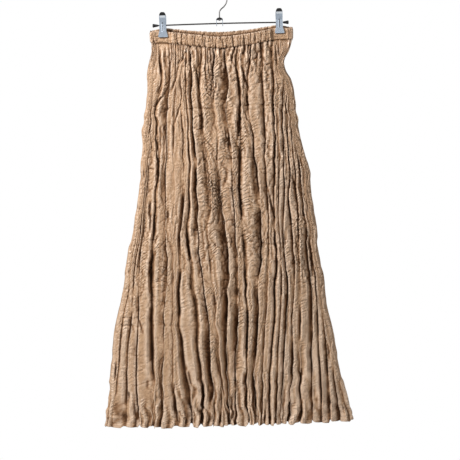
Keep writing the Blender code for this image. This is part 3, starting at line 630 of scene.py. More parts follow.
def crumple(grid, crumpled, seed):
    """Relief of the crinkled cloth in millimetres, and the shade painted into its fine creases."""
    x, z, across = grid.x, grid.z, grid.across
    warp = 0.9 * waves(across / 30, z / 52, seed + 2) + 0.3 * waves(across / 10, z / 20, seed + 3)
    facets = zigzag(across / 10.5 + warp)
    facets = facets * np.clip(0.6 + waves(across / 24, z / 70, seed + 4), 0, 1.4)
    wider = zigzag(across / 17.0 - 0.8 * warp + 0.3)
    wider = wider * np.clip(0.5 + waves(across / 31, z / 90, seed + 5), 0, 1.4)
    upper = 0.4 + 0.6 * eased(z, SMOOTH_BELOW, CRINKLED_ABOVE)
    rising = sharp_lines((across + 0.5 * z) / 19 + 0.4 * warp, (z - 0.5 * across) / 34, seed + 17, 1.1)
    falling = sharp_lines((across - 0.45 * z) / 18 + 0.4 * warp, (z + 0.45 * across) / 31, seed + 18, 1.1)
    creases = 0.8 * sharp_lines(across / 15 + warp, z / 70, seed + 6, 1.1) + 0.9 * upper * (rising + falling)
    chevron = zigzag((z + 0.9 * grid.from_middle) / 8.0 + 0.7 * waves(across / 16, z / 22, seed + 7))
    lumps = (waves(across / 9, (z - 0.5 * across) / 12, seed + 8)
             + waves(across / 8, (z + 0.6 * across) / 10, seed + 9))
    lines = sharp_lines((across + 0.5 * z) / 15, (z - 0.3 * across) / 13, seed + 10, 1.0)
    lines = lines + 0.7 * sharp_lines((across - 0.6 * z) / 19, (z + 0.2 * across) / 8, seed + 11, 1.0)
    relief = upper * (FACET_HEIGHT * facets + RIBBON_HEIGHT * wider)
    relief = relief - CREASE_DEPTH * np.clip(creases, 0, 1.4)
    relief = relief + crumpled * (CHEVRON_HEIGHT * crumpled * chevron + 0.4 * lumps - LINE_DEPTH * lines)
    dark = 0.24 * np.clip(creases, 0, 1.2) * (0.5 + 0.5 * upper) + 0.1 * crumpled * np.clip(lines, 0, 1)
    for number, height in enumerate(PACKING_CREASES):
        wander = 5 * waves(x / 50, x * 0 + number, seed + 12)
        wander = wander + 1.5 * waves(x / 14, x * 0 + number, seed + 12)
        along = np.clip(0.4 + 0.9 * waves(x / 30, x * 0 + number + 7, seed + 13), 0, 1)
        relief = relief - PACKING_DEPTH * np.exp(-((z - height - wander) / 2.2) ** 2) * along
    return relief, dark


def blurred(values, reach_down, reach_along):
    """Each value of a grid averaged with its neighbours."""
    for axis, reach in ((0, reach_down), (1, reach_along)):
        edges = [(0, 0), (0, 0)]
        edges[axis] = (reach + 1, reach)
        total = np.cumsum(np.pad(values, edges, mode="edge"), axis=axis)
        count = values.shape[axis]
        span = 2 * reach + 1
        values = (np.take(total, np.arange(span, span + count), axis=axis)
                  - np.take(total, np.arange(count), axis=axis)) / span
    return values


def plan_normals(x, y):
    """Directions straight out of the cloth in each level section."""
    along_x = np.gradient(x, axis=1)
    along_y = np.gradient(y, axis=1)
    length = np.maximum(np.hypot(along_x, along_y), 1e-6)
    return -along_y / length, along_x / length


# Meshes from grids
def cloth_sheet(name, points, uv, maps, wall, node):
    """A thin cloth shell from a grid of points in millimetres, with its cloth map and other maps."""
    rows, columns = points.shape[:2]
    shape = bmesh.new()
    bmesh.ops.create_grid(shape, x_segments=columns - 1, y_segments=rows - 1, size=0.5)
    mesh = bpy.data.meshes.new(name)
    shape.to_mesh(mesh)
    shape.free()
    flat = np.empty(len(mesh.vertices) * 3)
    mesh.vertices.foreach_get("co", flat)
    flat = flat.reshape(-1, 3)
    column = np.rint((flat[:, 0] + 0.5) * (columns - 1)).astype(int)
    row = np.rint((0.5 - flat[:, 1]) * (rows - 1)).astype(int)
    mesh.vertices.foreach_set("co", (points[row, column] * MM).ravel())
    loop_vertices = np.empty(len(mesh.loops), dtype=np.int32)
    mesh.loops.foreach_get("vertex_index", loop_vertices)
    layer = mesh.uv_layers.new(name="cloth")
    layer.data.foreach_set("uv", (uv[row, column] * MM)[loop_vertices].ravel())
    for key, values in maps.items():
        attribute = mesh.attributes.new(key, "FLOAT", "POINT")
        attribute.data.foreach_set("value", values[row, column].astype(np.float32))
    mesh.update()
    mesh.shade_smooth()
    mesh.set_sharp_from_angle(angle=math.radians(SHARP_FOLD))
    piece = bpy.data.objects.new(name, mesh)
    bpy.context.scene.collection.objects.link(piece)
    thickness = piece.modifiers.new("Cloth thickness", "SOLIDIFY")
    thickness.thickness = wall * MM
    thickness.offset = -1
    thickness.use_even_offset = False
    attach(piece, BODY)
    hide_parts(node)
    return piece


def faces_out(piece, facing):
    """Turns the sheet's faces outwards, away from the middle plane."""
    mesh = piece.data
    normals = np.empty(len(mesh.polygons) * 3)
    mesh.polygons.foreach_get("normal", normals)
    if normals.reshape(-1, 3)[:, 1].mean() * facing < 0:
        mesh.flip_normals()


def top_gathers(across, z, seed, strength):
    """Relief of the small gathers under the waist seam, and the shade painted into them."""
    gathers = zigzag(across / 8.0 + 0.9 * waves(across / 11, z / 40, seed + 14))
    share = eased(z + 26 * waves(across / 9, z * 0, seed + 19), SKIRT_TOP - 62, SKIRT_TOP - 8) * strength
    return GATHER_HEIGHT * gathers * share, 0.5 * np.clip(-1.6 * gathers - 0.6, 0, 1) * share


def hem_splits(across, z, seed):
    """Relief of the narrow folds that the ribbons split into near the hem, and the shade painted into them.
    """
    splits = zigzag(across / 14 + 0.8 * waves(across / 23, z / 60, seed + 15) + 0.12 * zigzag(z / 41))
    share = eased(z + 40 * waves(across / 19, z * 0, seed + 22), SKIRT_HEM + 110, SKIRT_HEM + 20)
    return HEM_SPLIT_HEIGHT * splits * share, 0.45 * np.clip(-1.6 * splits - 0.6, 0, 1) * share


def skirt_panel(name, node, side, creases, short_folds, settings):
    """One skirt panel, as two halves that meet in a deep crease."""
    facing, seed = side.facing, side.seed
    hem_rows = np.arange(SKIRT_HEM, SKIRT_HEM + HEM_HEIGHT, HEM_ROW_STEP)[::-1]
    count = int((SKIRT_TOP - SKIRT_HEM - HEM_HEIGHT) / side.row_step)
    rows = np.concatenate([np.linspace(SKIRT_TOP, SKIRT_HEM + HEM_HEIGHT, count), hem_rows])
    grid = panel_surface(creases, short_folds, side, rows, PANEL_WALL)
    x, y, z, across = grid.x, grid.y, grid.z, grid.across
    out_x, out_y = plan_normals(x, y)
    crumpled = crumpled_share(x, z, seed + 40) * eased(y, 3, 10)
    relief, fine_shade = crumple(grid, crumpled, seed)
    lively = settings.crinkle * (1 - 0.85 * patch_share(SMOOTH_PATCHES, x, z, 0))
    relief, fine_shade = relief * lively, fine_shade * lively
    calm = (1 - pinch(x, z)) * eased(y, 1.0, 4.0) * grid.spread
    gathers, gather_shade = top_gathers(across, z, seed, settings.gathers)
    splits, split_shade = hem_splits(across, z, seed)
    fine_shade = fine_shade + gather_shade + split_shade
    turned_hem = 0.45 * eased(z, SKIRT_HEM + 8.5, SKIRT_HEM + 6.5)
    turned_hem = turned_hem - 0.5 * np.exp(-((z - SKIRT_HEM - 9) / 1.2) ** 2)
    relief = np.clip((relief + gathers + splits + turned_hem) * calm, LOWEST_RELIEF, HIGHEST_RELIEF)
    x = x + out_x * relief
    y = np.maximum(y + out_y * relief, INNERMOST)
    x = x + (SIDE_WAVE * waves(z / 17, z * 0, SIDE_WAVE_SEED) * (1 - eased(y, 4, 16))
             * eased(z, SKIRT_TOP, SKIRT_TOP - 60))
    deep = np.clip(grid.dark, 0, 1)
    steps = (across / SCALLOP_LENGTH + 0.9 * waves(across / 40, z * 0, seed + 16)) % 1
    scallop = SCALLOP_RISE * (deep - 0.3) + SCALLOP_STEP * (0.5 - steps)
    scallop = eased(z, SCALLOPS_START, SKIRT_HEM) * scallop
    # Painted shade in the crevices, under the waist seam and along the creases, and a painted highlight on
    # the ridge tops.
    crevice_shade = np.clip((blurred(y, 1, 2) - y) / 3.0, 0, 0.35) + np.clip((blurred(y, 3, 6) - y) / 16.0, 0, 0.2)
    painted_highlight = np.clip((y - blurred(y, 1, 2)) / 1.2, 0, 1)
    seam_shade = 0.75 * np.exp(-((z - SKIRT_TOP) / 2.0) ** 2)
    painted_shade = np.clip((grid.dark + fine_shade) * calm + crevice_shade + seam_shade, 0, 1)
    z = z + sag_drop(x, z, side.top_edge) + scallop
    points = np.stack([x, facing * y, z], axis=2)
    uv = np.stack([across, z], axis=2)
    middle = int(np.argmin(np.abs(across[0] - across[0].mean())))
    for suffix, part in (("_left", slice(0, middle + 1)), ("_right", slice(middle, None))):
        maps = {"painted_shade": painted_shade[:, part], "painted_highlight": painted_highlight[:, part], "crumpled": crumpled[:, part],
                "from_middle": grid.from_middle[:, part] * MM}
        piece = cloth_sheet(name + suffix, points[:, part], uv[:, part], maps, settings.wall, node)
        faces_out(piece, facing)
        piece.data.materials.append(cloth_material(settings))


def waistband(name, node, half, settings):
    """One half of the gathered waist casing, with puckers of uneven depth and a painted highlight along its
    rolled top edge.
    """
    facing, top_edge, seed = half.facing, half.top_edge, half.seed
    row_shares = np.concatenate([np.linspace(0, 0.12, 5), np.linspace(0.17, 0.85, 15),
                                 np.linspace(0.9, 1, 5)])
    bounds = [row.share for row in BAND_ROWS]
    left, right, drawn_in = (
        np.interp(row_shares, bounds, [getattr(row, key) for row in BAND_ROWS])[:, None]
        for key in ("left", "right", "drawn_in"))
    height = row_shares[:, None]
    zero = np.zeros_like(height)
    first, last = left + BAND_SIDE_RADIUS, right - BAND_SIDE_RADIUS
    stops = np.array([0.0] + [(number + 0.5 + 0.3 * math.sin(2.4 * number)) / PUCKERS
                              for number in range(PUCKERS)] + [1.0])
    numbers = np.arange(len(stops))[None, :]
    strengths = np.clip(0.65 + 0.9 * waves(numbers * 1.7, height * 2.0, seed), 0.05, 1.2)
    strengths = strengths * (1 + 0.4 * np.sin(1.7 * numbers))
    leans = 0.45 * np.sin(1.9 * numbers[0] + seed)
    ridges = np.repeat(np.arange(len(stops) - 1), PUCKER_COLUMNS)
    share = np.tile(np.arange(PUCKER_COLUMNS) / PUCKER_COLUMNS, len(stops) - 1)[None, :]
    place = stops[ridges] + (stops[ridges + 1] - stops[ridges]) * share
    lean = leans[ridges] * (1 - share) + leans[ridges + 1] * share
    x = first + (last - first) * (place + lean * (height - 0.5) * np.sin(math.pi * place) / PUCKERS)
    level = PINCH_BOTTOM + x * 0
    top = stand_off(x, level, left, right, BAND_DEPTH - drawn_in, BAND_SIDE_RADIUS, BAND_WALL)
    loose = 1 - pinch(x, level)
    # Painted shade in the slots between the puckers.
    dip, dark = x * 0, x * 0
    for part, number in ((share, ridges), (1 - share, ridges + 1)):
        slot = np.exp(-(part * PUCKER_WIDTH / PUCKER_SLOT) ** 1.4)
        deep = settings.pucker_depth * strengths[:, number] * loose * (1 - half.evenness)
        dip = dip + deep * (0.5 * (1 - part) ** 3 + 0.5 * slot)
        dark = np.maximum(dark, np.clip(deep / 2.6, 0, 1) * slot)
    left_arc, right_arc = side_arcs(left, right, BAND_SIDE_RADIUS + zero)
    x = np.concatenate([left_arc[0], x, right_arc[0]], axis=1)
    y = np.concatenate([left_arc[1], top - dip, right_arc[1]], axis=1)
    across = np.concatenate([np.arange(ARC_STEPS) - ARC_STEPS, ((ridges + share) * PUCKER_ACROSS)[0],
                             (len(stops) - 1) * PUCKER_ACROSS + np.arange(ARC_STEPS + 1)])[None, :] + zero
    out_x, out_y = plan_normals(x, y)
    calm = (1 - pinch(x, PINCH_BOTTOM + x * 0)) * eased(y, 1.5, 4.0)
    rows_mm = height * BAND_HEIGHT + x * 0
    relief = 0.4 * zigzag(across / 4.7 + waves(across / 9, rows_mm / 8, seed + 1))
    relief = relief - 0.6 * sharp_lines(across / 7, rows_mm / 9, seed + 2, 1.2)
    relief = (relief - 0.6 * np.exp(-((rows_mm - 1.6) / 0.9) ** 2)) * calm
    x, y = x + out_x * relief, np.maximum(y + out_y * relief, INNERMOST)
    z = band_edge(x, top_edge) - BAND_HEIGHT * (1 - height) + 0.5 * np.sin(across * 0.7) * calm
    points = np.stack([x, facing * y, z], axis=2)[::-1]
    uv = np.stack([across, z], axis=2)[::-1]
    # Painted shade at the seam, in the puckers and on the strip behind the front's top edge, and a painted
    # highlight on the ridges and along the rolled top rim.
    seam_shade = 0.7 * np.exp(-((rows_mm - 0.6) / 1.0) ** 2)
    behind = z - band_edge(x, "front_top") - SEEN_RISE
    seam_shade = seam_shade + half.shade * np.exp(-(behind / 2.2) ** 2)
    rim_highlight = 0.8 * eased(rows_mm, BAND_HEIGHT - 3.4, BAND_HEIGHT - 1.0)
    painted_shade = np.clip(beside_arcs(dark, 0) + np.clip((blurred(y, 2, 4) - y) / 2.0, 0, 0.5) + seam_shade, 0, 1)
    painted_highlight = np.clip((y - blurred(y, 2, 4)) / 1.1 + rim_highlight, 0, 1)
    maps = {"painted_shade": painted_shade[::-1], "painted_highlight": painted_highlight[::-1], "crumpled": painted_shade * 0 + 0.3,
            "from_middle": painted_shade * 0}
    piece = cloth_sheet(name, points, uv, maps, settings.band_wall, node)
    faces_out(piece, facing)
    piece.data.materials.append(cloth_material(settings))
    near = "front" if facing < 0 else "back"
    stitch_row(name + "_stitches", points[-3, 8:-8], facing, settings)


def stitch_row(name, path, facing, settings):
    """A row of small sunk stitches along a path in millimetres, as one piece."""
    steps = np.linalg.norm(np.diff(path, axis=0), axis=1)
    place = np.concatenate([[0], np.cumsum(steps)])
    at = np.arange(STITCH_PITCH, place[-1] - STITCH_PITCH, STITCH_PITCH)
    centres = np.stack([np.interp(at, place, path[:, axis]) for axis in range(3)], axis=1)
    ahead = np.stack([np.interp(at + 0.5, place, path[:, axis]) for axis in range(3)], axis=1)
    shape = bmesh.new()
    thin = STITCH_WIDTH / STITCH_LENGTH
    for centre, next_place in zip(centres, ahead):
        turn = Vector(next_place - centre).to_track_quat("X", "Z").to_matrix().to_4x4()
        long = Matrix.Diagonal((1.0, thin, thin, 1.0))
        lift = Vector((0, facing * STITCH_LIFT * MM, 0))
        made = bmesh.ops.create_uvsphere(shape, u_segments=8, v_segments=5, radius=STITCH_LENGTH / 2 * MM,
                                         matrix=long)
        bmesh.ops.transform(shape, matrix=Matrix.Translation(Vector(centre) * MM + lift) @ turn,
                            verts=made["verts"])
    mesh = bpy.data.meshes.new(name)
    shape.to_mesh(mesh)
    shape.free()
    mesh.shade_smooth()
    mesh.materials.append(soft_material(name, tuple(settings.thread), 0.6, 0.00003))
    piece = bpy.data.objects.new(name, mesh)
    bpy.context.scene.collection.objects.link(piece)
    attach(piece, BODY)


# Shader maths
class Wire:
    """A shader socket that can be used in sums, with short ways to add other nodes."""

    def __init__(self, tree, socket):
        self.tree = tree
        self.socket = socket

    def node(self, kind, settings=None, inputs=None):
        """Adds a node, makes its settings first, then gives values or links to its sockets."""
        made = self.tree.nodes.new(kind)
        for key, value in (settings or {}).items():
            if key == "stops":
                for number, (position, colour) in enumerate(value):
                    elements = made.color_ramp.elements
                    stop = elements[number] if number < len(elements) else elements.new(position)
                    stop.position, stop.color = position, colour
            else:
                setattr(made, key, value)
        for key, value in (inputs or {}).items():
            if isinstance(value, Wire):
                self.tree.links.new(value.socket, made.inputs[key])
            else:
                made.inputs[key].default_value = value
        return made

    def out(self, kind, output=0, settings=None, inputs=None):
        """Adds a node in the same way and returns one of its outputs."""
        return Wire(self.tree, self.node(kind, settings, inputs).outputs[output])

    def noise(self, place, scale, detail, **more):
        """Noise over a place, from 0 to 1."""
        return self.out("ShaderNodeTexNoise", "Fac",
                        inputs={"Vector": place, "Scale": scale, "Detail": detail, **more})

    def mesh_map(self, name):
        """One of the maps that the mesh keeps."""
        return self.out("ShaderNodeAttribute", "Fac", settings={"attribute_name": name})

    def maths(self, operation, first, second=None):
        values = {0: first} if second is None else {0: first, 1: second}
        return self.out("ShaderNodeMath", settings={"operation": operation}, inputs=values)

    def __add__(self, other):
        return self.maths("ADD", self, other)

    def __radd__(self, other):
        return self.maths("ADD", other, self)

    def __sub__(self, other):
        return self.maths("SUBTRACT", self, other)

    def __rsub__(self, other):
        return self.maths("SUBTRACT", other, self)

    def __mul__(self, other):
        return self.maths("MULTIPLY", self, other)

    def clamped(self):
        """This value kept between 0 and 1."""
        return self.out("ShaderNodeClamp", inputs={"Value": self})

    def mixed(self, low, high):
        """A colour between two colours, by this value."""
        made = self.node("ShaderNodeMix", settings={"data_type": "RGBA"})
        self.tree.links.new(self.socket, made.inputs[0])
        for number, colour in ((6, low), (7, high)):
            if isinstance(colour, Wire):
                self.tree.links.new(colour.socket, made.inputs[number])
            else:
                made.inputs[number].default_value = (*colour, 1)
        return Wire(self.tree, made.outputs[2])


def new_material(name):
    """A fresh material, its shader node and a wire to start its other nodes from."""
    made = bpy.data.materials.new(name)
    made.use_nodes = True
    shader = made.node_tree.nodes["Principled BSDF"]
    return made, shader, Wire(made.node_tree, None)


def link(wire, shader, socket):
    """Feeds one socket of the shader."""
    wire.tree.links.new(wire.socket, shader.inputs[socket])


def emboss(height, shader, strength):
    """Gives the shader small relief, whose height is in metres."""
    bump = height.out("ShaderNodeBump", inputs={"Height": height, "Strength": strength, "Distance": 1.0})
    link(bump, shader, "Normal")


def cloth_material(settings):
    """Soft crinkled cloth: warm tan, with painted highlights on the ridge tops, painted shade in the strips
    and creases, and fine crinkles.
    """
    made = bpy.data.materials.get("crinkled cloth")
    if made:
        return made
    made, shader, start = new_material("crinkled cloth")
    painted_shade = start.mesh_map("painted_shade")
    crumpled = start.mesh_map("crumpled")
    from_middle = start.mesh_map("from_middle")
    cloth_map = start.out("ShaderNodeUVMap", settings={"uv_map": "cloth"})
    place = start.out("ShaderNodeTexCoord", "Object")
    split = start.node("ShaderNodeSeparateXYZ", inputs={"Vector": cloth_map})
    across, down = Wire(start.tree, split.outputs["X"]), Wire(start.tree, split.outputs["Y"])

    painted_highlight = start.mesh_map("painted_highlight")
    mottle = start.noise(place, scale=16.0, detail=5.0)
    fine = start.noise(place, scale=500.0, detail=3.0)
    ladder_place = start.out("ShaderNodeCombineXYZ",
                             inputs={"X": across, "Y": down + from_middle * 0.9 + (mottle - 0.5) * 0.03})
    ripples = start.out("ShaderNodeTexWave", "Fac", settings={"wave_type": "BANDS", "bands_direction": "Y"},
                        inputs={"Vector": ladder_place, "Scale": 42.0, "Distortion": 8.0, "Detail": 2.0,
                                "Detail Scale": 1.2, "Detail Roughness": 0.6})
    where = start.noise(place, scale=42.0, detail=2.0)
    ladders = ripples * ((where - 0.4) * 4.5).clamped()
    crinkle_place = start.out("ShaderNodeCombineXYZ", inputs={"X": across * 190.0, "Y": down * 60.0})
    crinkles = start.noise(crinkle_place, scale=1.0, detail=4.0, Roughness=0.6, Distortion=0.6)
    cell_place = start.out("ShaderNodeCombineXYZ",
                           inputs={"X": (across + (crinkles - 0.5) * 0.012) * 105.0,
                                   "Y": (down + (mottle - 0.5) * 0.03) * 75.0})
    cell_edge = start.out("ShaderNodeTexVoronoi", "Distance", settings={"feature": "DISTANCE_TO_EDGE"},
                          inputs={"Vector": cell_place, "Scale": 1.0})
    cells = (cell_edge * 4.0).clamped()

    # Painted shade: the painted shade map, roughened by noise, turns the cloth brown in the sunken strips
    # and near black deep in the creases.
    deep = painted_shade + (mottle - 0.5) * 0.12 + (crinkles - 0.5) * 0.1
    shade = start.out("ShaderNodeValToRGB", "Color",
                      settings={"stops": ((0.05, (*settings.colour, 1)), (0.42, (*settings.shade_colour, 1)),
                                          (0.95, (*settings.crease_shade_colour, 1)))},
                      inputs={"Fac": deep})
    # Painted highlight: a paler colour on the ridge tops.
    colour = (painted_highlight * 0.65).mixed(shade, tuple(settings.highlight_colour))
    # Fine tone, partly random slub of the yarn and partly painted light and shade of the crinkles and
    # ladders.
    yarn_slub_and_crinkle_shading = ((fine - 0.5) * 0.5 + (crinkles - 0.5) * 0.75 + (ladders - 0.3) * crumpled * 0.5 + 0.5).clamped()
    colour = start.out("ShaderNodeMix", 2, settings={"data_type": "RGBA", "blend_type": "SOFT_LIGHT"},
                       inputs={0: 0.7, 6: colour, 7: yarn_slub_and_crinkle_shading.mixed((0.15, 0.15, 0.15), (0.85, 0.85, 0.85))})
    link(colour, shader, "Base Color")
    rough = (0.36 + (mottle - 0.5) * 0.2 + deep * 0.6).clamped()
    link(rough, shader, "Roughness")
    height = (ladders * (crumpled + 0.12) * 0.0035 + crinkles * 0.0021 + cells * (crumpled + 0.25) * 0.0021
              + fine * 0.00015)
    emboss(height, shader, 0.9)
    shader.inputs["Sheen Weight"].default_value = 0.08
    shader.inputs["Sheen Roughness"].default_value = 0.35
    shader.inputs["Sheen Tint"].default_value = (1.0, 0.8, 0.62, 1)
    shader.inputs["Specular IOR Level"].default_value = 0.34
    return made


def metal_material(name, colour, roughness, polish, marks=()):
    """Plated steel with faint brushing and a little wear. Each mark is a zone of another colour, or of
    painted shade in a slot.
    """
    made, shader, start = new_material(name)
    place = start.out("ShaderNodeTexCoord", "Object")
    split = start.node("ShaderNodeSeparateXYZ", inputs={"Vector": place})
    along, up = Wire(start.tree, split.outputs["X"]), Wire(start.tree, split.outputs["Z"])
    wear = start.noise(place, scale=180.0, detail=4.0)
    finish = wear.mixed(tuple(value * 0.8 for value in colour), tuple(colour))
    metallic, rough = wear * 0.1 + (polish - 0.05), roughness - 0.1 + wear * 0.22
    for mark in marks:
        inside_x = mark.half_width * MM - start.maths("ABSOLUTE", along - mark.x * MM)
        inside_z = mark.half_height * MM - start.maths("ABSOLUTE", up - mark.z * MM)
        inside = (start.maths("MINIMUM", inside_x, inside_z) * (1 / (MARK_EDGE * MM)) + 0.5).clamped()
        finish = inside.mixed(finish, mark.colour)
        metallic = metallic * (1.0 - inside * mark.dull)
        rough = rough + inside * 0.12
    link(finish, shader, "Base Color")
    link(rough.clamped(), shader, "Roughness")
    link(metallic, shader, "Metallic")
    brushing = start.noise(place, scale=900.0, detail=2.0)
    emboss(brushing * 0.00004, shader, 0.5)
    return made


def soft_material(name, colour, roughness, grain):
    """Rubber, felt, thread or a floor of one colour, with a slight grain."""
    made, shader, start = new_material(name)
    place = start.out("ShaderNodeTexCoord", "Object")
    grains = start.noise(place, scale=700.0, detail=3.0)
    low, high = tuple(value * 0.7 for value in colour), tuple(min(value * 1.2, 1) for value in colour)
    link(grains.mixed(low, high), shader, "Base Color")
    link((roughness - 0.1 + grains * 0.2).clamped(), shader, "Roughness")
    emboss(grains * grain, shader, 0.6)
    return made


# Settings
def colour_setting(name, description, default):
    """A colour, shown as a swatch in the panel."""
    return FloatVectorProperty(name=name, description=description, default=default, subtype="COLOR", size=3,
                               min=0, max=1)


class SkirtClothSettings(PropertyGroup):
    """Sizes and colours of the cloth. Walls, depths and reliefs are in millimetres."""

    wall: FloatProperty(name="Cloth thickness", description="Thickness of the panels' cloth, in millimetres",
                        default=0.5, min=0.1, max=1.0)
    band_wall: FloatProperty(name="Band thickness", description="Thickness of the casing, in millimetres",
                             default=1.2, min=0.2, max=2.4)
    crinkle: FloatProperty(name="Crinkle", description="Strength of the crinkles", default=1.0, min=0, max=2,
                           subtype="FACTOR")
    gathers: FloatProperty(name="Gathers", description="Strength of the small gathers under the waist seam",
                           default=1.0, min=0, max=2, subtype="FACTOR")
    pucker_depth: FloatProperty(name="Pucker depth", description="Depth of the puckers, in millimetres",
                                default=2.2, min=0, max=3.0)
    colour: colour_setting("Cloth colour", "Colour of the cloth's faces", (0.47, 0.294, 0.173))
    # The ridge colour is a painted highlight on the ridge tops; the strip and crease colours are painted
    # shade in the sunken strips and in the creases.
    highlight_colour: colour_setting("Ridge colour", "Colour of the sharp ridges", (0.74, 0.56, 0.42))
    shade_colour: colour_setting("Strip colour", "Colour of the sunken strips", (0.25, 0.128, 0.058))
    crease_shade_colour: colour_setting("Crease colour", "Colour deep in the folds", (0.07, 0.026, 0.006))
    thread: colour_setting("Thread colour", "Colour of the stitches", (0.3, 0.18, 0.1))


class SkirtHangerSettings(PropertyGroup):
    """Colours of the hanger."""

    metal: colour_setting("Metal", "Colour of the plated steel", (0.46, 0.53, 0.62))
    wire: colour_setting("Wire", "Colour of the hook and the rod", (0.12, 0.115, 0.11))
    rubber: colour_setting("Rubber", "Colour of the tips", (0.012, 0.012, 0.014))
    pad: colour_setting("Pad", "Colour of the clip pads", (0.6, 0.6, 0.58))


class SkirtStageSettings(PropertyGroup):
    """Camera, lights and floor of the studio."""

    distance: FloatProperty(name="Camera distance", description="From the camera to the skirt", default=2.37,
                            min=0.5, max=10, unit="LENGTH")
    roll: FloatProperty(name="Camera roll", description="Lean of the camera to its right",
                        default=math.radians(1.5), subtype="ANGLE", unit="ROTATION")
    floor_drop: FloatProperty(name="Floor", description="Height of the floor", default=-1.25, unit="LENGTH")
    key_power: FloatProperty(name="Key light", description="Power of the main light in watts", default=57,
                             min=0, max=1000)
    fill_power: FloatProperty(name="Fill light", description="Power of the fill light in watts", default=12,
                              min=0, max=1000)
    ambient: FloatProperty(name="Ambient", description="Strength of the light from all round", default=0.13,
                           min=0, max=2)


# Operators
class SKIRT_OT_front_panel(Operator):
    """Builds the front panel's crinkled pleats"""

    bl_idname = "skirt.front_panel"
    bl_label = "Front panel"

    def execute(self, context):
        skirt_panel("front_cloth", "front_panel", FRONT_SIDE, FRONT_CREASES, FRONT_SHORT_FOLDS,
                    context.scene.skirt_cloth)
        return {"FINISHED"}


class SKIRT_OT_back_panel(Operator):
    """Builds the back panel's crinkled pleats"""

    bl_idname = "skirt.back_panel"
    bl_label = "Back panel"

    def execute(self, context):
        skirt_panel("back_cloth", "back_panel", BACK_SIDE, back_creases(), back_short_folds(),
                    context.scene.skirt_cloth)
        return {"FINISHED"}


class SKIRT_OT_waistband(Operator):
    """Builds both halves of the gathered waistband"""

    bl_idname = "skirt.waistband"
    bl_label = "Waistband"

    def execute(self, context):
        settings = context.scene.skirt_cloth
        waistband("front_casing", "waistband_front", FRONT_BAND, settings)
        waistband("back_casing", "waistband_back", BACK_BAND, settings)
        return {"FINISHED"}


class SKIRT_OT_hanger_finish(Operator):
    """Gives the hanger its plated steel, rubber and pads"""

    bl_idname = "skirt.hanger_finish"
    bl_label = "Hanger finish"

    def execute(self, context):
        settings = context.scene.skirt_hanger
        rubber = soft_material("tip rubber", settings.rubber, 0.45, 0.00003)
        pad = soft_material("clip pad", settings.pad, 0.75, 0.00006)
        bracket = metal_material("bracket plate", settings.metal, 0.3, 0.6, BRACKET_MARKS)
        finishes = {"hook": metal_material("hook wire", settings.wire, 0.42, 0.95),
                    "rod": metal_material("rod wire", settings.wire, 0.36, 0.95),
                    "swivel_bracket": bracket}
        for side, marks in CLIP_MARKS.items():
            plate = metal_material(f"{side} clip plate", settings.metal, 0.33, 0.5, marks)
            for part in ("front", "back", "barrel"):
                finishes[f"clip_{side}_{part}"] = plate
            finishes[f"rod_tip_{side}"] = rubber
            for part in ("front_pad", "back_pad"):
                finishes[f"clip_{side}_{part}"] = pad
        for name, finish in finishes.items():
            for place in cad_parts[name].material_slots:
                place.material = finish
        return {"FINISHED"}


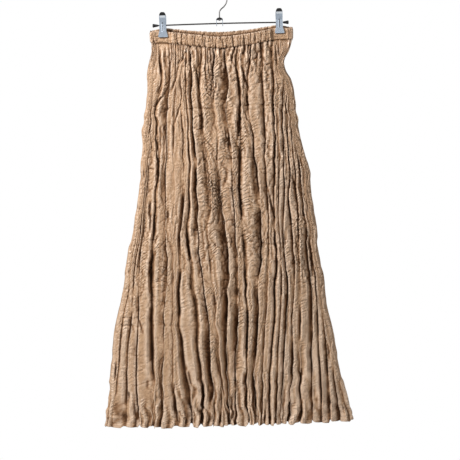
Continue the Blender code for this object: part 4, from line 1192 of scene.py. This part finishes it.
class SKIRT_OT_stage(Operator):
    """Sets the camera, the soft lights and the pale floor"""

    bl_idname = "skirt.stage"
    bl_label = "Studio"

    def execute(self, context):
        settings = context.scene.skirt_stage
        scene = context.scene
        target = Vector(VIEW_MIDDLE)
        camera = bpy.data.objects.new("Camera", bpy.data.cameras.new("Camera"))
        scene.collection.objects.link(camera)
        camera.data.lens = LENS
        camera.data.sensor_width = SENSOR_WIDTH
        camera.location = target + Vector((0, -settings.distance, 0))
        camera.rotation_euler = (math.radians(90), settings.roll, 0)
        scene.camera = camera
        self.lamp(scene, "Key light", *KEY_LIGHT, target, settings.key_power)
        self.lamp(scene, "Fill light", *FILL_LIGHT, target, settings.fill_power)
        back_power = settings.key_power * BACK_LIGHT_SHARE
        back_light = self.lamp(scene, "Back light", *BACK_LIGHT, target, back_power)
        # Seen in the cloth's gloss, this light would put white specks on the edge that faces it.
        back_light.visible_glossy = False
        self.surroundings(scene, settings.ambient)
        self.floor(scene, settings.floor_drop)
        scene.view_settings.view_transform = "Standard"
        return {"FINISHED"}

    @staticmethod
    def lamp(scene, name, place, size, target, power):
        """A soft square light that faces the skirt."""
        light = bpy.data.lights.new(name, "AREA")
        light.energy = power
        light.size = size
        made = bpy.data.objects.new(name, light)
        made.location = place
        made.rotation_mode = "QUATERNION"
        made.rotation_quaternion = (target - Vector(place)).to_track_quat("-Z", "Y")
        scene.collection.objects.link(made)
        return made

    @staticmethod
    def surroundings(scene, ambient):
        """White surroundings that light the skirt only softly."""
        world = bpy.data.worlds.new("Studio")
        world.use_nodes = True
        scene.world = world
        background = world.node_tree.nodes["Background"]
        start = Wire(world.node_tree, None)
        seen = start.out("ShaderNodeLightPath", "Is Camera Ray")
        link(seen * (1.0 - ambient) + ambient, background, "Strength")
        background.inputs["Color"].default_value = (1, 1, 1, 1)

    @staticmethod
    def floor(scene, height):
        """A plain pale round floor."""
        shape = bmesh.new()
        bmesh.ops.create_circle(shape, cap_ends=True, segments=96, radius=FLOOR_RADIUS)
        bmesh.ops.translate(shape, vec=(0, 0, height), verts=shape.verts)
        mesh = bpy.data.meshes.new("floor")
        shape.to_mesh(mesh)
        shape.free()
        piece = bpy.data.objects.new("floor", mesh)
        scene.collection.objects.link(piece)
        piece.data.materials.append(soft_material("pale floor", (0.8, 0.8, 0.79), 0.8, 0.0001))


class SKIRT_PT_pieces(Panel):
    """Lists the skirt's pieces and settings"""

    bl_label = "Pleated skirt"
    bl_idname = "SKIRT_PT_pieces"
    bl_space_type = "VIEW_3D"
    bl_region_type = "UI"
    bl_category = "Skirt"

    def draw(self, context):
        for group in SETTINGS:
            box = self.layout.box()
            settings = getattr(context.scene, group)
            for name in settings.__annotations__:
                box.prop(settings, name)
        for operator in OPERATORS:
            self.layout.operator(operator.bl_idname)


SETTINGS = {"skirt_cloth": SkirtClothSettings, "skirt_hanger": SkirtHangerSettings,
            "skirt_stage": SkirtStageSettings}
OPERATORS = (SKIRT_OT_front_panel, SKIRT_OT_back_panel, SKIRT_OT_waistband, SKIRT_OT_hanger_finish,
             SKIRT_OT_stage)


def register():
    for item in (*SETTINGS.values(), *OPERATORS, SKIRT_PT_pieces):
        bpy.utils.register_class(item)
    for name, group in SETTINGS.items():
        setattr(bpy.types.Scene, name, PointerProperty(type=group))


def unregister():
    for name in SETTINGS:
        delattr(bpy.types.Scene, name)
    for item in reversed((*SETTINGS.values(), *OPERATORS, SKIRT_PT_pieces)):
        bpy.utils.unregister_class(item)


def main():
    register()
    bpy.ops.skirt.front_panel()
    bpy.ops.skirt.back_panel()
    bpy.ops.skirt.waistband()
    bpy.ops.skirt.hanger_finish()
    bpy.ops.skirt.stage()


if __name__ == "__main__":
    main()
